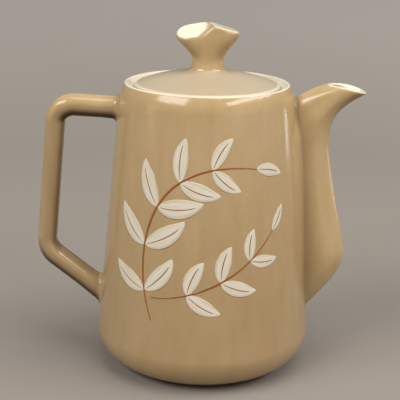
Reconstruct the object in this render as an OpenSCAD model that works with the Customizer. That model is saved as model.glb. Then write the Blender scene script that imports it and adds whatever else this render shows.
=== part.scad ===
// Coffee pot with a lift-off lid, in glazed earthenware.
// The pot and its lid are two loose pieces of ware. The pot is a cast body with a cast spout and a
// cast handle joined to its wall. The lid is a plate with a flange below it and a knob on top.
// Frame: the origin is the centre of the foot on the table, +Z is up, the spout points along +X
// and the handle along -X. All lengths are in millimetres and all angles in degrees.

/* [Body] */
// Height from the table to the top of the rim
body_h = 180; // [160:1:210]
// Radius of the body at its widest, just above the base
base_r = 67.6; // [62:0.1:76]
// Outer radius of the rim
rim_r = 51.2; // [47:0.1:58]
// Radius of the curve that turns the wall in under the rim
shoulder_round = 23.5; // [16:0.5:32]
// Lean of the wall where that curve meets the rim
rim_lean = 31; // [22:1:40]
// Radius of the rounded crest of the rim
crest_round = 1.3; // [0.8:0.1:2]
// Width of the rounding at the base, which is a quarter ellipse
base_round_w = 25.3; // [18:0.1:30]
// Height of the rounding at the base
base_round_h = 21.6; // [16:0.1:28]
// Thickness of the wall
wall = 4.5; // [3.5:0.1:6]
// Thickness of the floor
floor_t = 5.5; // [4:0.1:8]

/* [Foot] */
// Outer radius of the flat ring that the pot stands on
foot_r = 48; // [46:0.5:52]
// Width of that ring
foot_w = 5; // [3:0.5:9]
// Depth of the recess inside the ring
foot_recess = 1.8; // [1:0.1:3]

/* [Lid seat] */
// Depth of the seat below the rim
seat_drop = 5; // [4:0.1:8]
// Width of the slope between the rim's edge and the seat
slope_w = 6.1; // [5:0.1:8]
// Width of the flat seat that carries the lid
seat_w = 4.9; // [4:0.1:7]
// Thickness of the seat's ledge at its edge
seat_t = 4.5; // [3.5:0.1:6]
// Lean of the ledge's underside, down to the wall
ledge_lean = 40; // [30:1:50]

/* [Pour slot] */
// Width of the slot through the wall behind the spout
slot_w = 16; // [12:0.5:20]
// Height of the slot's lower end
slot_low = 66; // [60:1:80]
// Distance from the rim down to the slot's upper end
slot_drop = 34; // [28:1:50]

/* [Spout] */
// Height at which the underside of the spout leaves the wall
spout_root_z = 36; // [32:1:44]
// Rise of the underside where it leaves the wall
spout_root_rise = 49; // [42:1:56]
// Height of the belly, where the lower spout stands out most
belly_z = 73; // [68:1:82]
// Distance from the wall to the outside of the belly
belly_out = 26.6; // [23:0.1:31]
// Distance from the rim down to the waist, where the spout turns outwards
waist_drop = 34; // [30:1:40]
// Distance from the wall to the outside of the waist
waist_out = 20.3; // [17:0.1:24]
// Distance from the rim's edge out to the tip
tip_out = 46.9; // [42:0.1:54]
// Distance from the rim down to the tip
tip_drop = 4.4; // [2:0.1:8]
// Rise of the underside as it reaches the tip
tip_rise = 28; // [20:1:36]
// Width of the spout where its form starts behind the wall
root_w = 26; // [22:1:32]
// Width of the spout at the belly
belly_w = 36; // [30:1:42]
// Width of the spout at the waist
waist_w = 26; // [23:1:32]
// Width of the spout at the mouth
mouth_w = 21.5; // [19:0.5:26]
// Thickness of the spout's wall
spout_wall = 3.6; // [2.8:0.1:4.5]
// Length of the mouth, from its back edge to the tip
mouth_len = 24.4; // [20:0.1:28]
// Height of the mouth's back edge above the rim
mouth_back_rise = 0.3; // [0:0.1:1.5]
// How far the lip bows up between the ends of the mouth
lip_bow = 1; // [0.4:0.1:2]
// How far the spout's form is carried on behind the wall
spout_inset = 17.5; // [14:0.5:22]

/* [Handle] */
// Distance from the rim down to the upper arm where it leaves the wall
handle_drop = 16.6; // [14:0.1:22]
// Rise of the upper arm from the wall to its corner
arm_rise = 1.7; // [0:0.1:6]
// Distance from the wall to the middle of the grip, at the upper corner
upper_out = 37.9; // [34:0.1:46]
// Distance from the wall to the middle of the grip, at the lower corner
lower_out = 37.5; // [34:0.1:46]
// Height of the lower corner
corner_z = 71.4; // [64:0.1:80]
// Height of the lower arm where it leaves the wall
handle_low_z = 44; // [40:0.1:52]
// Radius of the upper bend, along the middle of the handle
upper_bend = 11.5; // [9:0.5:16]
// Radius of the lower bend, along the middle of the handle
lower_bend = 15; // [11:0.5:22]
// Thickness of the upper arm
upper_arm_t = 13; // [12:0.1:17]
// Thickness of the grip
grip_t = 12; // [11:0.1:16]
// Thickness of the lower arm
lower_arm_t = 13; // [11:0.1:17]
// Width of the handle from side to side
handle_w = 14.5; // [13:0.1:19]
// How much the arms thicken where they meet the wall
root_flare = 0.8; // [0.2:0.1:2]

/* [Lid] */
// Gap around the edge of the lid plate
lid_gap = 0.6; // [0.4:0.1:1.2]
// Height of the lid plate's edge above the seat
lid_edge_h = 4.6; // [3.8:0.1:6]
// Rounding of the upper edge of the plate
lid_edge_round = 1.8; // [1:0.1:2.4]
// Chamfer on the lower edge of the plate
lid_chamfer = 0.8; // [0.4:0.1:1.2]
// Rise of the plate's dome above its edge
lid_rise = 8.2; // [7:0.1:12]
// Thickness of the plate in the middle
lid_t = 5; // [4:0.1:6]

/* [Lid flange] */
// Gap between the flange and the edge of the seat
flange_gap = 0.9; // [0.6:0.1:1.8]
// Thickness of the flange
flange_t = 3.8; // [3:0.1:5]
// Depth of the flange below the seat
flange_h = 12; // [8:0.5:18]
// Rounding of the flange's lower edge
flange_round = 1.5; // [0.8:0.1:1.8]

/* [Knob] */
// Radius of the knob's foot on the lid
knob_foot_r = 10.6; // [9.8:0.1:12]
// Radius of the knob's neck
knob_neck_r = 9.5; // [8:0.1:10.5]
// Length of the knob's head
head_len = 39.2; // [34:0.1:46]
// Width of the knob's head
head_w = 22.6; // [20:0.1:28]
// Height of the left face above the lid, at the knob's axis
left_face_h = 26.2; // [23:0.1:30]
// Height of the right face above the lid, at the knob's axis
right_face_h = 29.2; // [26:0.1:32]
// Fall of the left face towards its outer end
left_fall = 9; // [5:1:16]
// Fall of the left face towards the front
left_lean = 16; // [6:1:20]
// Fall of the right face towards its outer end
right_fall = 16; // [10:1:24]
// Rise of the step between the two faces
step_rise = 38; // [28:1:50]
// How much narrower the head is between its two lobes, as a share of its width
head_pinch = 0.08; // [0:0.01:0.15]

/* [Hidden] */

$fn = 96;

// Steps in the round stretches of the turned outlines: wide curves, small edges and the dome
arc_steps = 12;
edge_steps = 6;
dome_steps = 16;
// Points around a section, and sections along a stretch, of the swept shapes
spout_sides = 32;
handle_sides = 28;
knob_sides = 36;
curve_steps = 11;
bend_steps = 8;
straight_steps = 8;
knob_steps = 18;
// Facets of the large circle that the lip's bow is a part of
lip_facets = 360;
// First guess of the wall's taper, and how often it is refined
taper_guess = 5;
taper_rounds = 4;
// Reach of each curve's handles along the spout, as shares of the distance that the curve spans
root_pull = 0.466;
belly_pull = [0.266, 0.12];
waist_pull = [0.243, 0.44];
tip_pull = 0.413;
back_pull = [0.29, 0.44];
// Rise of the back line where it passes over the mouth, and where it ends from the tip, as shares
// of the mouth's length
back_rise = 3;
back_end_share = [-0.25, 0.365];
// Where the spout's bore starts on its lower stretch, and where its width settles on the upper one
bore_start = 0.12;
width_settles = 0.8;
// How squarely rounded a section is, where 2 is an ellipse
handle_squareness = 2.5;
head_squareness = 2.1;
// Places along the handle, from root to root, at which its thickness is given
handle_stations = [0, 0.12, 0.26, 0.4, 0.62, 0.76, 0.88, 1];
// Share of the handle's change in thickness that its width follows
width_follows = 0.6;
// Where on its height the knob's foot ends, and where its left side, right side and flanks flare
foot_ends = 0.2;
left_flare = [0.24, 0.74];
right_flare = [0.16, 0.62];
flank_flare = [0.2, 0.7];
// How far the head swells on either side of its pinch, as a share of its width
lobe_fullness = 0.55;
// Height of the step's plane above the left face on the knob's axis, and its rise across the knob
step_h = 2;
step_skew = 0.04;
// Extra length that carries a form behind the wall, or a cutter past what it cuts
past = 10;

clay = [0.78, 0.67, 0.50];
lid_clay = [0.82, 0.73, 0.58];
cream = [0.93, 0.90, 0.82];

// ---- Small helpers ----
function mix(a, b, t) = a + (b - a) * t;
function unit(v) = v / norm(v);
function rounded(c, squareness) = sign(c) * pow(abs(c), 2 / squareness);
function ease(span, t) =
    let (u = max(0, min(1, (t - span[0]) / (span[1] - span[0])))) u * u * (3 - 2 * u);
function arc(c, r, from, to, steps = arc_steps) =
    [for (i = [0:steps]) let (a = mix(from, to, i / steps)) c + r * [cos(a), sin(a)]];
function oval(c, rx, ry, from, to, steps = arc_steps) =
    [for (i = [0:steps]) let (a = mix(from, to, i / steps)) c + [rx * cos(a), ry * sin(a)]];
function bezier(p, t) =
    pow(1 - t, 3) * p[0] + 3 * pow(1 - t, 2) * t * p[1] + 3 * (1 - t) * t * t * p[2] + pow(t, 3) * p[3];
// Bezier points from a to b, which leaves and arrives in the given directions
function curve(a, leave, pull_a, b, arrive, pull_b) = let (span = norm(b - a))
    [a, a + pull_a * span * leave, b - pull_b * span * arrive, b];

// Closed solid through a list of rings, which all have the same number of points.
module skin(rings) {
    n = len(rings[0]);
    last = (len(rings) - 1) * n;
    sides = [for (i = [0:len(rings) - 2], j = [0:n - 1])
        let (a = i * n + j, b = i * n + (j + 1) % n)
        each [[a, b + n, b], [a, a + n, b + n]]];
    caps = [[for (j = [0:n - 1]) j], [for (j = [n - 1:-1:0]) last + j]];
    polyhedron([for (ring = rings) each ring], concat(sides, caps), convexity = 8);
}

// ---- Outline of the body: radius and height ----
crest_c = [rim_r - crest_round, body_h - crest_round];
shoulder_c = crest_c - (shoulder_round - crest_round) * [cos(rim_lean), sin(rim_lean)];
base_c = [base_r - base_round_w, base_round_h];

// The straight wall touches the shoulder's curve and the base's ellipse, which fixes its taper.
function reach_at(taper) = norm([base_round_w * cos(taper), base_round_h * sin(taper)]);
function taper_from(taper, turns) = let (
    d = base_c - shoulder_c,
    next = atan2(d[1], d[0]) + acos((shoulder_round - reach_at(taper)) / norm(d))
) turns <= 0 ? next : taper_from(next, turns - 1);
taper = taper_from(taper_guess, taper_rounds);
base_reach = reach_at(taper);
wall_side = [cos(taper), sin(taper)];
wall_line = base_c * wall_side + base_reach;
base_turn = atan2(base_round_h * sin(taper), base_round_w * cos(taper));
function wall_r(z) = (wall_line - z * sin(taper)) / cos(taper);
function bore_r(z) = wall_r(z) - wall / cos(taper);

// The base's ellipse stops where it reaches the foot ring.
foot_turn = -acos((foot_r - base_c[0]) / base_round_w);

outer_side = concat(
    oval(base_c, base_round_w, base_round_h, foot_turn, base_turn, 2 * arc_steps),
    arc(shoulder_c, shoulder_round, taper, rim_lean)
);

// ---- Seat of the lid ----
seat_z = body_h - seat_drop;
seat_outer_r = rim_r - slope_w;
seat_inner_r = seat_outer_r - seat_w;
slope_turn = 90 + atan2(seat_drop - crest_round, slope_w - 2 * crest_round);
ledge_z = seat_z - seat_t;
ledge_fall = tan(ledge_lean);
ledge_meet_r = (bore_r(0) - tan(taper) * (ledge_z + seat_inner_r * ledge_fall))
    / (1 - ledge_fall * tan(taper));
ledge_meet_z = ledge_z - (ledge_meet_r - seat_inner_r) * ledge_fall;

// ---- Inside of the body ----
floor_z = foot_recess + floor_t;
bore_round_h = base_c[1] - floor_z;
bore_round_w = sqrt(pow(base_reach - wall, 2) - pow(bore_round_h * sin(taper), 2)) / cos(taper);
bore_turn = atan2(bore_round_h * sin(taper), bore_round_w * cos(taper));

body_outline = concat(
    [[0, foot_recess], [foot_r - foot_w - foot_recess, foot_recess], [foot_r - foot_w, 0], [foot_r, 0]],
    outer_side,
    arc(crest_c, crest_round, rim_lean, slope_turn, edge_steps),
    [[seat_outer_r, seat_z], [seat_inner_r, seat_z], [seat_inner_r, ledge_z],
     [ledge_meet_r, ledge_meet_z]],
    oval(base_c, bore_round_w, bore_round_h, bore_turn, -90),
    [[0, floor_z]]
);

// Everything within the body's outer surface: the spout and the handle are cut to meet it.
module body_envelope() {
    rotate_extrude(convexity = 4)
        polygon(concat([[0, 0], [foot_r, 0]], outer_side, [[crest_c[0], body_h], [0, body_h]]));
}

module pour_slot() {
    slot_high = body_h - slot_drop;
    length = base_r + past;
    low = slot_low + slot_w / 2;
    high = slot_high - slot_w / 2;
    for (z = [low, high]) translate([0, 0, z]) rotate([0, 90, 0]) cylinder(d = slot_w, h = length);
    translate([0, -slot_w / 2, low]) cube([length, slot_w, high - low]);
}

module body_shell() {
    color(clay)
        difference() {
            rotate_extrude(convexity = 8) polygon(body_outline);
            pour_slot();
        }
}

// ---- Spout: sections run from its back line, inside the wall, to its front line ----
waist_z = body_h - waist_drop;
waist = [wall_r(waist_z) + waist_out, waist_z];
belly = [wall_r(belly_z) + belly_out, belly_z];
tip = [rim_r + tip_out, body_h - tip_drop];
spout_back_r = wall_r(waist_z) - spout_inset;
up = [0, 1];
root_dir = [cos(spout_root_rise), sin(spout_root_rise)];
tip_dir = [cos(tip_rise), sin(tip_rise)];
back_dir = [cos(back_rise), sin(back_rise)];
root = [wall_r(spout_root_z), spout_root_z] - past * root_dir;
mouth_fall = asin((tip_drop + mouth_back_rise) / mouth_len);

// Front line of the spout: up the underside to the belly, in to the waist and out to the tip
front_lower = curve(root, root_dir, root_pull, belly, up, belly_pull[0]);
front_middle = curve(belly, up, belly_pull[1], waist, up, waist_pull[0]);
front_upper = curve(waist, up, waist_pull[1], tip, tip_dir, tip_pull);
// Back line of the upper spout: it leaves the wall below the rim and carries on over the mouth
back_upper = curve([spout_back_r, waist_z], up, back_pull[0],
    tip + mouth_len * back_end_share, back_dir, back_pull[1]);

function front_at(k) = k < 1 ? bezier(front_lower, k) : k < 2 ? bezier(front_middle, k - 1)
    : bezier(front_upper, k - 2);
function back_at(k) = k < 2 ? [spout_back_r, front_at(k)[1]] : bezier(back_upper, k - 2);
function spout_width(k) = k < 1 ? mix(root_w, belly_w, ease([0, 1], k))
    : k < 2 ? mix(belly_w, waist_w, ease([1, 2], k))
    : mix(waist_w, mouth_w, ease([2, 2 + width_settles], k));

// One oval section, drawn in by the thickness given
function spout_ring(k, inward) = let (
    front = front_at(k),
    back = back_at(k),
    along = unit(front - back),
    half = norm(front - back) / 2 - inward,
    middle = (front + back) / 2,
    side = spout_width(k) / 2 - inward
) [for (j = [0:spout_sides - 1]) let (
    a = 360 * j / spout_sides,
    p = middle + along * half * cos(a)
) [p[0], side * sin(a), p[1]]];

module spout_form(inward, from) {
    steps = 3 * curve_steps;
    skin([for (i = [0:steps]) spout_ring(mix(from, 3, i / steps), inward)]);
}

// Everything above the bowed lip
module above_lip() {
    lip_round = (mouth_len * mouth_len / 4 + lip_bow * lip_bow) / (2 * lip_bow);
    across_lip = [sin(mouth_fall), cos(mouth_fall)];
    back_edge = tip - mouth_len * [cos(mouth_fall), -sin(mouth_fall)];
    lip_c = (tip + back_edge) / 2 + (lip_bow - lip_round) * across_lip;
    difference() {
        translate([back_edge[0] - past, -belly_w, tip[1] - past])
            cube([mouth_len + 2 * past, 2 * belly_w, 4 * past]);
        translate([lip_c[0], 0, lip_c[1]])
            rotate([90, 0, 0]) cylinder(r = lip_round, h = 3 * belly_w, center = true, $fn = lip_facets);
    }
}

module spout() {
    color(clay)
        difference() {
            spout_form(0, 0);
            spout_form(spout_wall, bore_start);
            body_envelope();
            above_lip();
        }
}

// ---- Handle: a bent bar with rounded, slightly square sections ----
function corner(a, b, c, r) = let (
    u = unit(a - b),
    v = unit(c - b),
    half = acos(u * v) / 2,
    middle = b + unit(u + v) * r / sin(half),
    from = unit(b + u * r / tan(half) - middle),
    to = unit(b + v * r / tan(half) - middle),
    sweep = 180 - 2 * half
) [for (i = [0:bend_steps]) let (t = i / bend_steps)
    middle + r * (from * sin((1 - t) * sweep) + to * sin(t * sweep)) / sin(sweep)];
function straight(a, b) = [for (i = [1:straight_steps - 1]) mix(a, b, i / straight_steps)];

handle_top_z = body_h - handle_drop;
upper_root = [wall_r(handle_top_z), handle_top_z];
upper_corner = [wall_r(handle_top_z) + upper_out, handle_top_z + arm_rise];
lower_corner = [wall_r(corner_z) + lower_out, corner_z];
lower_root = [wall_r(handle_low_z), handle_low_z];
upper_start = upper_root + unit(upper_root - upper_corner) * past;
lower_end = lower_root + unit(lower_root - lower_corner) * past;
upper_arc = corner(upper_start, upper_corner, lower_corner, upper_bend);
lower_arc = corner(upper_corner, lower_corner, lower_end, lower_bend);
handle_line = concat(
    [upper_start], straight(upper_start, upper_arc[0]), upper_arc,
    straight(upper_arc[bend_steps], lower_arc[0]), lower_arc,
    straight(lower_arc[bend_steps], lower_end), [lower_end]
);
station_t = [upper_arm_t + 2 * root_flare, upper_arm_t, upper_arm_t, grip_t,
    grip_t, lower_arm_t, lower_arm_t, lower_arm_t + 2 * root_flare];
thickness_table = [for (i = [0:len(station_t) - 1]) [handle_stations[i], station_t[i]]];
function handle_t(k) = lookup(k, thickness_table);

module handle() {
    last = len(handle_line) - 1;
    rings = [for (i = [0:last]) let (
        ahead = unit(handle_line[min(i + 1, last)] - handle_line[max(i - 1, 0)]),
        outward = [-ahead[1], ahead[0]],
        t = handle_t(i / last),
        w = handle_w + (t - grip_t) * width_follows
    ) [for (j = [0:handle_sides - 1]) let (
        a = 360 * j / handle_sides,
        p = handle_line[i] + outward * t / 2 * rounded(cos(a), handle_squareness)
    ) [-p[0], w / 2 * rounded(sin(a), handle_squareness), p[1]]]];
    color(clay)
        difference() {
            skin(rings);
            body_envelope();
        }
}

// ---- Lid ----
lid_r = seat_outer_r - lid_gap;
lid_edge_c = [lid_r - lid_edge_round, seat_z + lid_edge_h - lid_edge_round];
dome_z = seat_z + lid_edge_h + lid_rise;
dome_over = dome_z - lid_edge_c[1];
dome_r = (pow(lid_edge_c[0], 2) + pow(dome_over, 2) - pow(lid_edge_round, 2))
    / (2 * (dome_over - lid_edge_round));
dome_c = [0, dome_z - dome_r];
dome_edge_turn = 90 - asin(lid_edge_c[0] / (dome_r - lid_edge_round));
knob_foot_turn = 90 - asin(knob_foot_r / dome_r);
knob_z = dome_c[1] + dome_r * sin(knob_foot_turn);
flange_r = seat_inner_r - flange_gap;
flange_bore_r = flange_r - flange_t;
hollow_r = dome_r - lid_t;
hollow_turn = 90 - asin(flange_bore_r / hollow_r);

module lid_plate() {
    color(lid_clay)
        rotate_extrude(convexity = 4)
            polygon(concat(
                [[flange_bore_r, seat_z], [lid_r - lid_chamfer, seat_z], [lid_r, seat_z + lid_chamfer]],
                arc(lid_edge_c, lid_edge_round, 0, dome_edge_turn, edge_steps),
                arc(dome_c, dome_r, dome_edge_turn, knob_foot_turn, dome_steps),
                [[0, knob_z]],
                arc(dome_c, hollow_r, 90, hollow_turn, dome_steps)
            ));
}

module lid_flange() {
    low = seat_z - flange_h + flange_round;
    color(cream)
        rotate_extrude(convexity = 4)
            polygon(concat(
                [[flange_bore_r, seat_z]],
                arc([flange_bore_r + flange_round, low], flange_round, 180, 270, edge_steps),
                arc([flange_r - flange_round, low], flange_round, 270, 360, edge_steps),
                [[flange_r, seat_z]]
            ));
}

// ---- Knob: a neck that flares to an oval head, with two sloping faces and a step between them ----
// Everything above a sloping plane: its height on the knob's axis and its rises along X and Y
module above(height, rise_x, rise_y) {
    reach = head_len;
    square_corners = [[-1, -1], [1, -1], [1, 1], [-1, 1]] * reach;
    skin([
        [for (c = square_corners) [c[0], c[1], knob_z + height + [rise_x, rise_y] * c]],
        [for (c = square_corners) [c[0], c[1], knob_z + height + 2 * reach]]
    ]);
}

module knob_form() {
    rings = [for (i = [0:knob_steps]) let (
        t = i / knob_steps,
        neck = mix(knob_foot_r, knob_neck_r, ease([0, foot_ends], t)),
        left = mix(neck, head_len / 2, ease(left_flare, t)),
        right = mix(neck, head_len / 2, ease(right_flare, t)),
        spread = ease(flank_flare, t),
        across = mix(neck, head_w / 2, spread)
    ) [for (j = [0:knob_sides - 1]) let (
        a = 360 * j / knob_sides,
        lobed = mix(1, 1 - head_pinch + lobe_fullness * cos(a) * cos(a), spread),
        along = (cos(a) > 0 ? right : left) * rounded(cos(a), head_squareness)
    ) [along, across * lobed * rounded(sin(a), head_squareness), knob_z + t * right_face_h]]];
    skin(rings);
}

module knob() {
    color(lid_clay)
        difference() {
            knob_form();
            above(right_face_h, -tan(right_fall), 0);
            intersection() {
                above(left_face_h, tan(left_fall), tan(left_lean));
                above(left_face_h + step_h, tan(step_rise), step_skew);
            }
        }
}

body_shell();
spout();
handle();
lid_plate();
lid_flange();
knob();
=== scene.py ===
# %% [markdown]
# # A glazed earthenware coffee pot
# The pot is slip-cast: liquid clay sets against plaster moulds, and the body, the spout, the
# handle and the knob are joined while the clay is still soft. So nothing on it is sharp. Where
# two castings meet, a finger has wiped the seam into a small hollow curve, and the glaze has
# rounded every edge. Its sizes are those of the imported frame. This script gives the surfaces that
# softness, the glaze its depth, and the front its painted sprig.

# %% Load the frame
import math

import bpy
import numpy as np
from mathutils import Matrix, Vector


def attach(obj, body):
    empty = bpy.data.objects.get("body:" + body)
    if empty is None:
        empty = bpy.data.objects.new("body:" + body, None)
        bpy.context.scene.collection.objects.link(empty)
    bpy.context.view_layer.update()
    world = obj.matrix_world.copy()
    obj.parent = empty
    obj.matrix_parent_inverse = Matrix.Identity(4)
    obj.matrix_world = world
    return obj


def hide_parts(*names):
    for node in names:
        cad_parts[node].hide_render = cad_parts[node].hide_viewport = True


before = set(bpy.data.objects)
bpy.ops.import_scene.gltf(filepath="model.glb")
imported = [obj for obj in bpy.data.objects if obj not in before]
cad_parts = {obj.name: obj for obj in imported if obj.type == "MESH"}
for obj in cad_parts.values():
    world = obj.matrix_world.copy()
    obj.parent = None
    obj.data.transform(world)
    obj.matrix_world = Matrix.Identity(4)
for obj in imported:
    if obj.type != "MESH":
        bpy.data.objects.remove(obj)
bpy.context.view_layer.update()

# %% [markdown]
# ## The camera
# A long lens stands a little above, almost square to the plane of spout and handle. It is rolled
# by about one degree, as a hand-held camera is. Its view angle sets how much the pot tapers by
# perspective, so it comes before everything else.

# %% Camera
MM = 0.001
camera_place = (-3.0, -650.0, 292.0)
camera_pitch = 16.08
camera_roll = 1.13
camera_view_angle = 21.22

camera = bpy.data.objects.new("camera", bpy.data.cameras.new("camera"))
camera.data.angle = math.radians(camera_view_angle)
camera.matrix_world = (
    Matrix.Translation(Vector(camera_place) * MM)
    @ Matrix.Rotation(math.radians(90 - camera_pitch), 4, "X")
    @ Matrix.Rotation(math.radians(camera_roll), 4, "Z")
)
bpy.context.scene.collection.objects.link(camera)
bpy.context.scene.camera = camera
print("camera at", camera_place, "mm, lens", round(camera.data.lens), "mm")

# %% [markdown]
# ## Small tools
# All shapes are worked out in millimetres and degrees, as a potter would give them, and become
# metres only when a mesh is made. Angles of an outline are measured from the outward direction
# towards up. A soft step and a rounded corner are used everywhere, because clay has neither jumps
# nor corners.

# %% Soft steps, arcs and rounded corners
def mix(a, b, t):
    """The value at a share t of the way from a to b."""
    return a + (b - a) * t


def ease(span, t):
    """From 0 to 1 while t crosses the span, with a soft start and a soft end."""
    u = np.clip((t - span[0]) / (span[1] - span[0]), 0, 1)
    return u * u * (3 - 2 * u)


def turn(degrees):
    """Unit vectors at these angles."""
    angle = np.radians(degrees)
    return np.stack([np.cos(angle), np.sin(angle)], axis=-1)


def arc(centre, radius, start, stop, steps):
    """Points on a circle, or on an ellipse where the radius is a pair."""
    return np.asarray(centre) + np.asarray(radius) * turn(np.linspace(start, stop, steps + 1))


def softened(corners, steps=5):
    """A path through (radius, height, rounding) corners, with a small arc at each corner."""
    path = [corners[0][:2]]
    for before, here, after in zip(corners, corners[1:], corners[2:]):
        corner = np.array(here[:2])
        back = np.array(before[:2]) - corner
        on = np.array(after[:2]) - corner
        back, on = back / np.linalg.norm(back), on / np.linalg.norm(on)
        half = math.acos(np.dot(back, on)) / 2
        centre = corner + (back + on) / np.linalg.norm(back + on) * here[2] / math.sin(half)
        start = corner + back * here[2] / math.tan(half) - centre
        stop = corner + on * here[2] / math.tan(half) - centre
        sweep = math.pi - 2 * half
        for t in np.linspace(0, 1, steps + 1):
            blend = start * math.sin((1 - t) * sweep) + stop * math.sin(t * sweep)
            path.append(centre + blend / math.sin(sweep))
    path.append(corners[-1][:2])
    return np.array(path)


print("a quarter of the way across, a soft step has risen to", float(ease((0, 4), 1)))

# %% [markdown]
# ## From points to pieces
# A piece is a mesh with smooth shading. A mask is a number at each of its points, which a
# material can read later, so the place of each glaze is worked out together with the shape.

# %% Meshes and masks
def add_object(name, data):
    """A new object at the origin, in the scene."""
    thing = bpy.data.objects.new(name, data)
    bpy.context.scene.collection.objects.link(thing)
    return thing


def make_piece(name, points_mm, faces, normals=None):
    """A smooth-shaded mesh object, made from points in millimetres."""
    mesh = bpy.data.meshes.new(name)
    mesh.from_pydata((np.asarray(points_mm) * MM).tolist(), [], [list(f) for f in faces])
    mesh.shade_smooth()
    if normals is not None:
        mesh.normals_split_custom_set_from_vertices(normals.tolist())
    print(f"{name}: {len(mesh.vertices)} points, {len(mesh.polygons)} faces")
    return add_object(name, mesh)


def points_of(thing):
    """X, Y and Z of a mesh's points, in millimetres."""
    flat = np.empty(len(thing.data.vertices) * 3)
    thing.data.vertices.foreach_get("co", flat)
    return flat.reshape(-1, 3).T / MM


def set_mask(thing, name, values):
    """A named value at each point of a mesh, which a material can read."""
    mask = thing.data.attributes.new(name, "FLOAT", "POINT")
    mask.data.foreach_set("value", np.asarray(values, np.float32))


print("meshes are scaled from millimetres by", MM)

# %% [markdown]
# ## The outline of the body
# The body is turned, so one outline says it all: a foot ring, a full rounded base, a straight
# wall that leans in by about five degrees, a shoulder, and a rim with a sunk seat for the lid.
# The straight wall has to touch the curves below and above it, and that decides its lean.

# %% Outline of the body
body_h, base_r, rim_r = 180, 67.6, 51.2
shoulder_round, rim_lean, crest_round = 23.5, 31, 1.3
base_round = np.array([25.3, 21.6])
wall, floor_t = 4.5, 5.5
foot_r, foot_w, foot_recess = 48, 5, 1.8
seat_drop, slope_w, seat_w, seat_t, ledge_lean = 5, 6.1, 4.9, 4.5, 40

crest_c = np.array([rim_r, body_h]) - crest_round
shoulder_c = crest_c - (shoulder_round - crest_round) * turn(rim_lean)
base_c = np.array([base_r - base_round[0], base_round[1]])

taper = 5.0
taper_rounds = 4
for _ in range(taper_rounds):
    base_reach = np.linalg.norm(base_round * turn(taper))
    gap = base_c - shoulder_c
    taper = math.degrees(
        math.atan2(gap[1], gap[0]) + math.acos((shoulder_round - base_reach) / np.linalg.norm(gap))
    )
wall_side = turn(taper)
wall_line = base_c @ wall_side + base_reach
print("the wall leans in by", round(taper, 2), "degrees")


def wall_r(z):
    """Outer radius of the straight wall at a height."""
    return (wall_line - z * wall_side[1]) / wall_side[0]


def oval_turn(radii):
    """Where on an ellipse the straight wall touches it."""
    return math.degrees(math.atan2(radii[1] * wall_side[1], radii[0] * wall_side[0]))


# %% [markdown]
# ## The inside of the body
# The wall is equally thick all the way, so the bore's line is the wall's line moved in. The
# seat's ledge slopes down to that line, and where they meet follows from the two slopes. Low
# down, the bore ends in a quarter oval that touches both the wall's line and the floor.

# %% Inside of the body
seat_z = body_h - seat_drop
seat_outer_r = rim_r - slope_w
seat_inner_r = seat_outer_r - seat_w
slope_turn = 90 + math.degrees(math.atan2(seat_drop - crest_round, slope_w - 2 * crest_round))
ledge_z = seat_z - seat_t
ledge_fall = math.tan(math.radians(ledge_lean))
wall_slope = wall_side[1] / wall_side[0]
bore_r_at_table = wall_r(0) - wall / wall_side[0]
ledge_meet_r = (bore_r_at_table - wall_slope * (ledge_z + seat_inner_r * ledge_fall)) / (
    1 - ledge_fall * wall_slope
)
ledge_meet_z = ledge_z - (ledge_meet_r - seat_inner_r) * ledge_fall
floor_z = foot_recess + floor_t
bore_h = base_c[1] - floor_z
bore_w = math.sqrt((base_reach - wall) ** 2 - (bore_h * wall_side[1]) ** 2) / wall_side[0]
bore_round = np.array([bore_w, bore_h])
print("seat at", seat_z, "mm, ledge meets the wall at", round(ledge_meet_z, 2), "mm")
print("floor at", floor_z, "mm, round part of the bore", bore_round.round(2), "mm")

# %% [markdown]
# ## Turning the body
# A lathe takes the outline round the axis. The pot stands on a bare ring, and the rest is glazed.
# The ring's edges and the seat's are softened by about one millimetre, which is what a sponge
# takes off, and the ledge under the seat runs into the wall in a wider curve. The straight walls
# get many rings too, so that a smooth reflection stays smooth.

# %% Turn the body
foot_softness = (1.2, 0.6, 0.8)
seat_softness = (1.0, 1.2)
ledge_softness = (1.2, 6)
rings_on_wall = 58


def between(a, b, count):
    """Evenly spaced points between two others, without the two."""
    return np.linspace(a, b, count + 2)[1:-1]


def body_outline():
    """From the middle of the foot recess, up the outside, and down the inside."""
    foot_turn = -math.degrees(math.acos((foot_r - base_c[0]) / base_round[0]))
    base = arc(base_c, base_round, foot_turn, oval_turn(base_round), steps=36)
    shoulder = arc(shoulder_c, shoulder_round, taper, rim_lean, steps=14)
    crest = arc(crest_c, crest_round, rim_lean, slope_turn, steps=12)
    bore = arc(base_c, bore_round, oval_turn(bore_round), -90, steps=30)
    foot_inner_r = foot_r - foot_w
    foot = softened([
        (0, foot_recess, 0), (foot_inner_r - foot_recess, foot_recess, foot_softness[0]),
        (foot_inner_r, 0, foot_softness[1]), (foot_r, 0, foot_softness[2]), (*base[2], 0),
    ])
    seat = softened([
        (*crest[-1], 0), (seat_outer_r, seat_z, seat_softness[0]),
        (seat_inner_r, seat_z, seat_softness[1]), (seat_inner_r, ledge_z, ledge_softness[0]),
        (ledge_meet_r, ledge_meet_z, ledge_softness[1]), (*bore[0], 0),
    ])
    outer_wall = between(base[-1], shoulder[0], rings_on_wall)
    inner_wall = between(seat[-2], bore[0], rings_on_wall)
    return np.concatenate([
        foot[:-1], base[2:], outer_wall, shoulder, crest[1:], seat[1:-1], inner_wall, bore,
    ])


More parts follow.
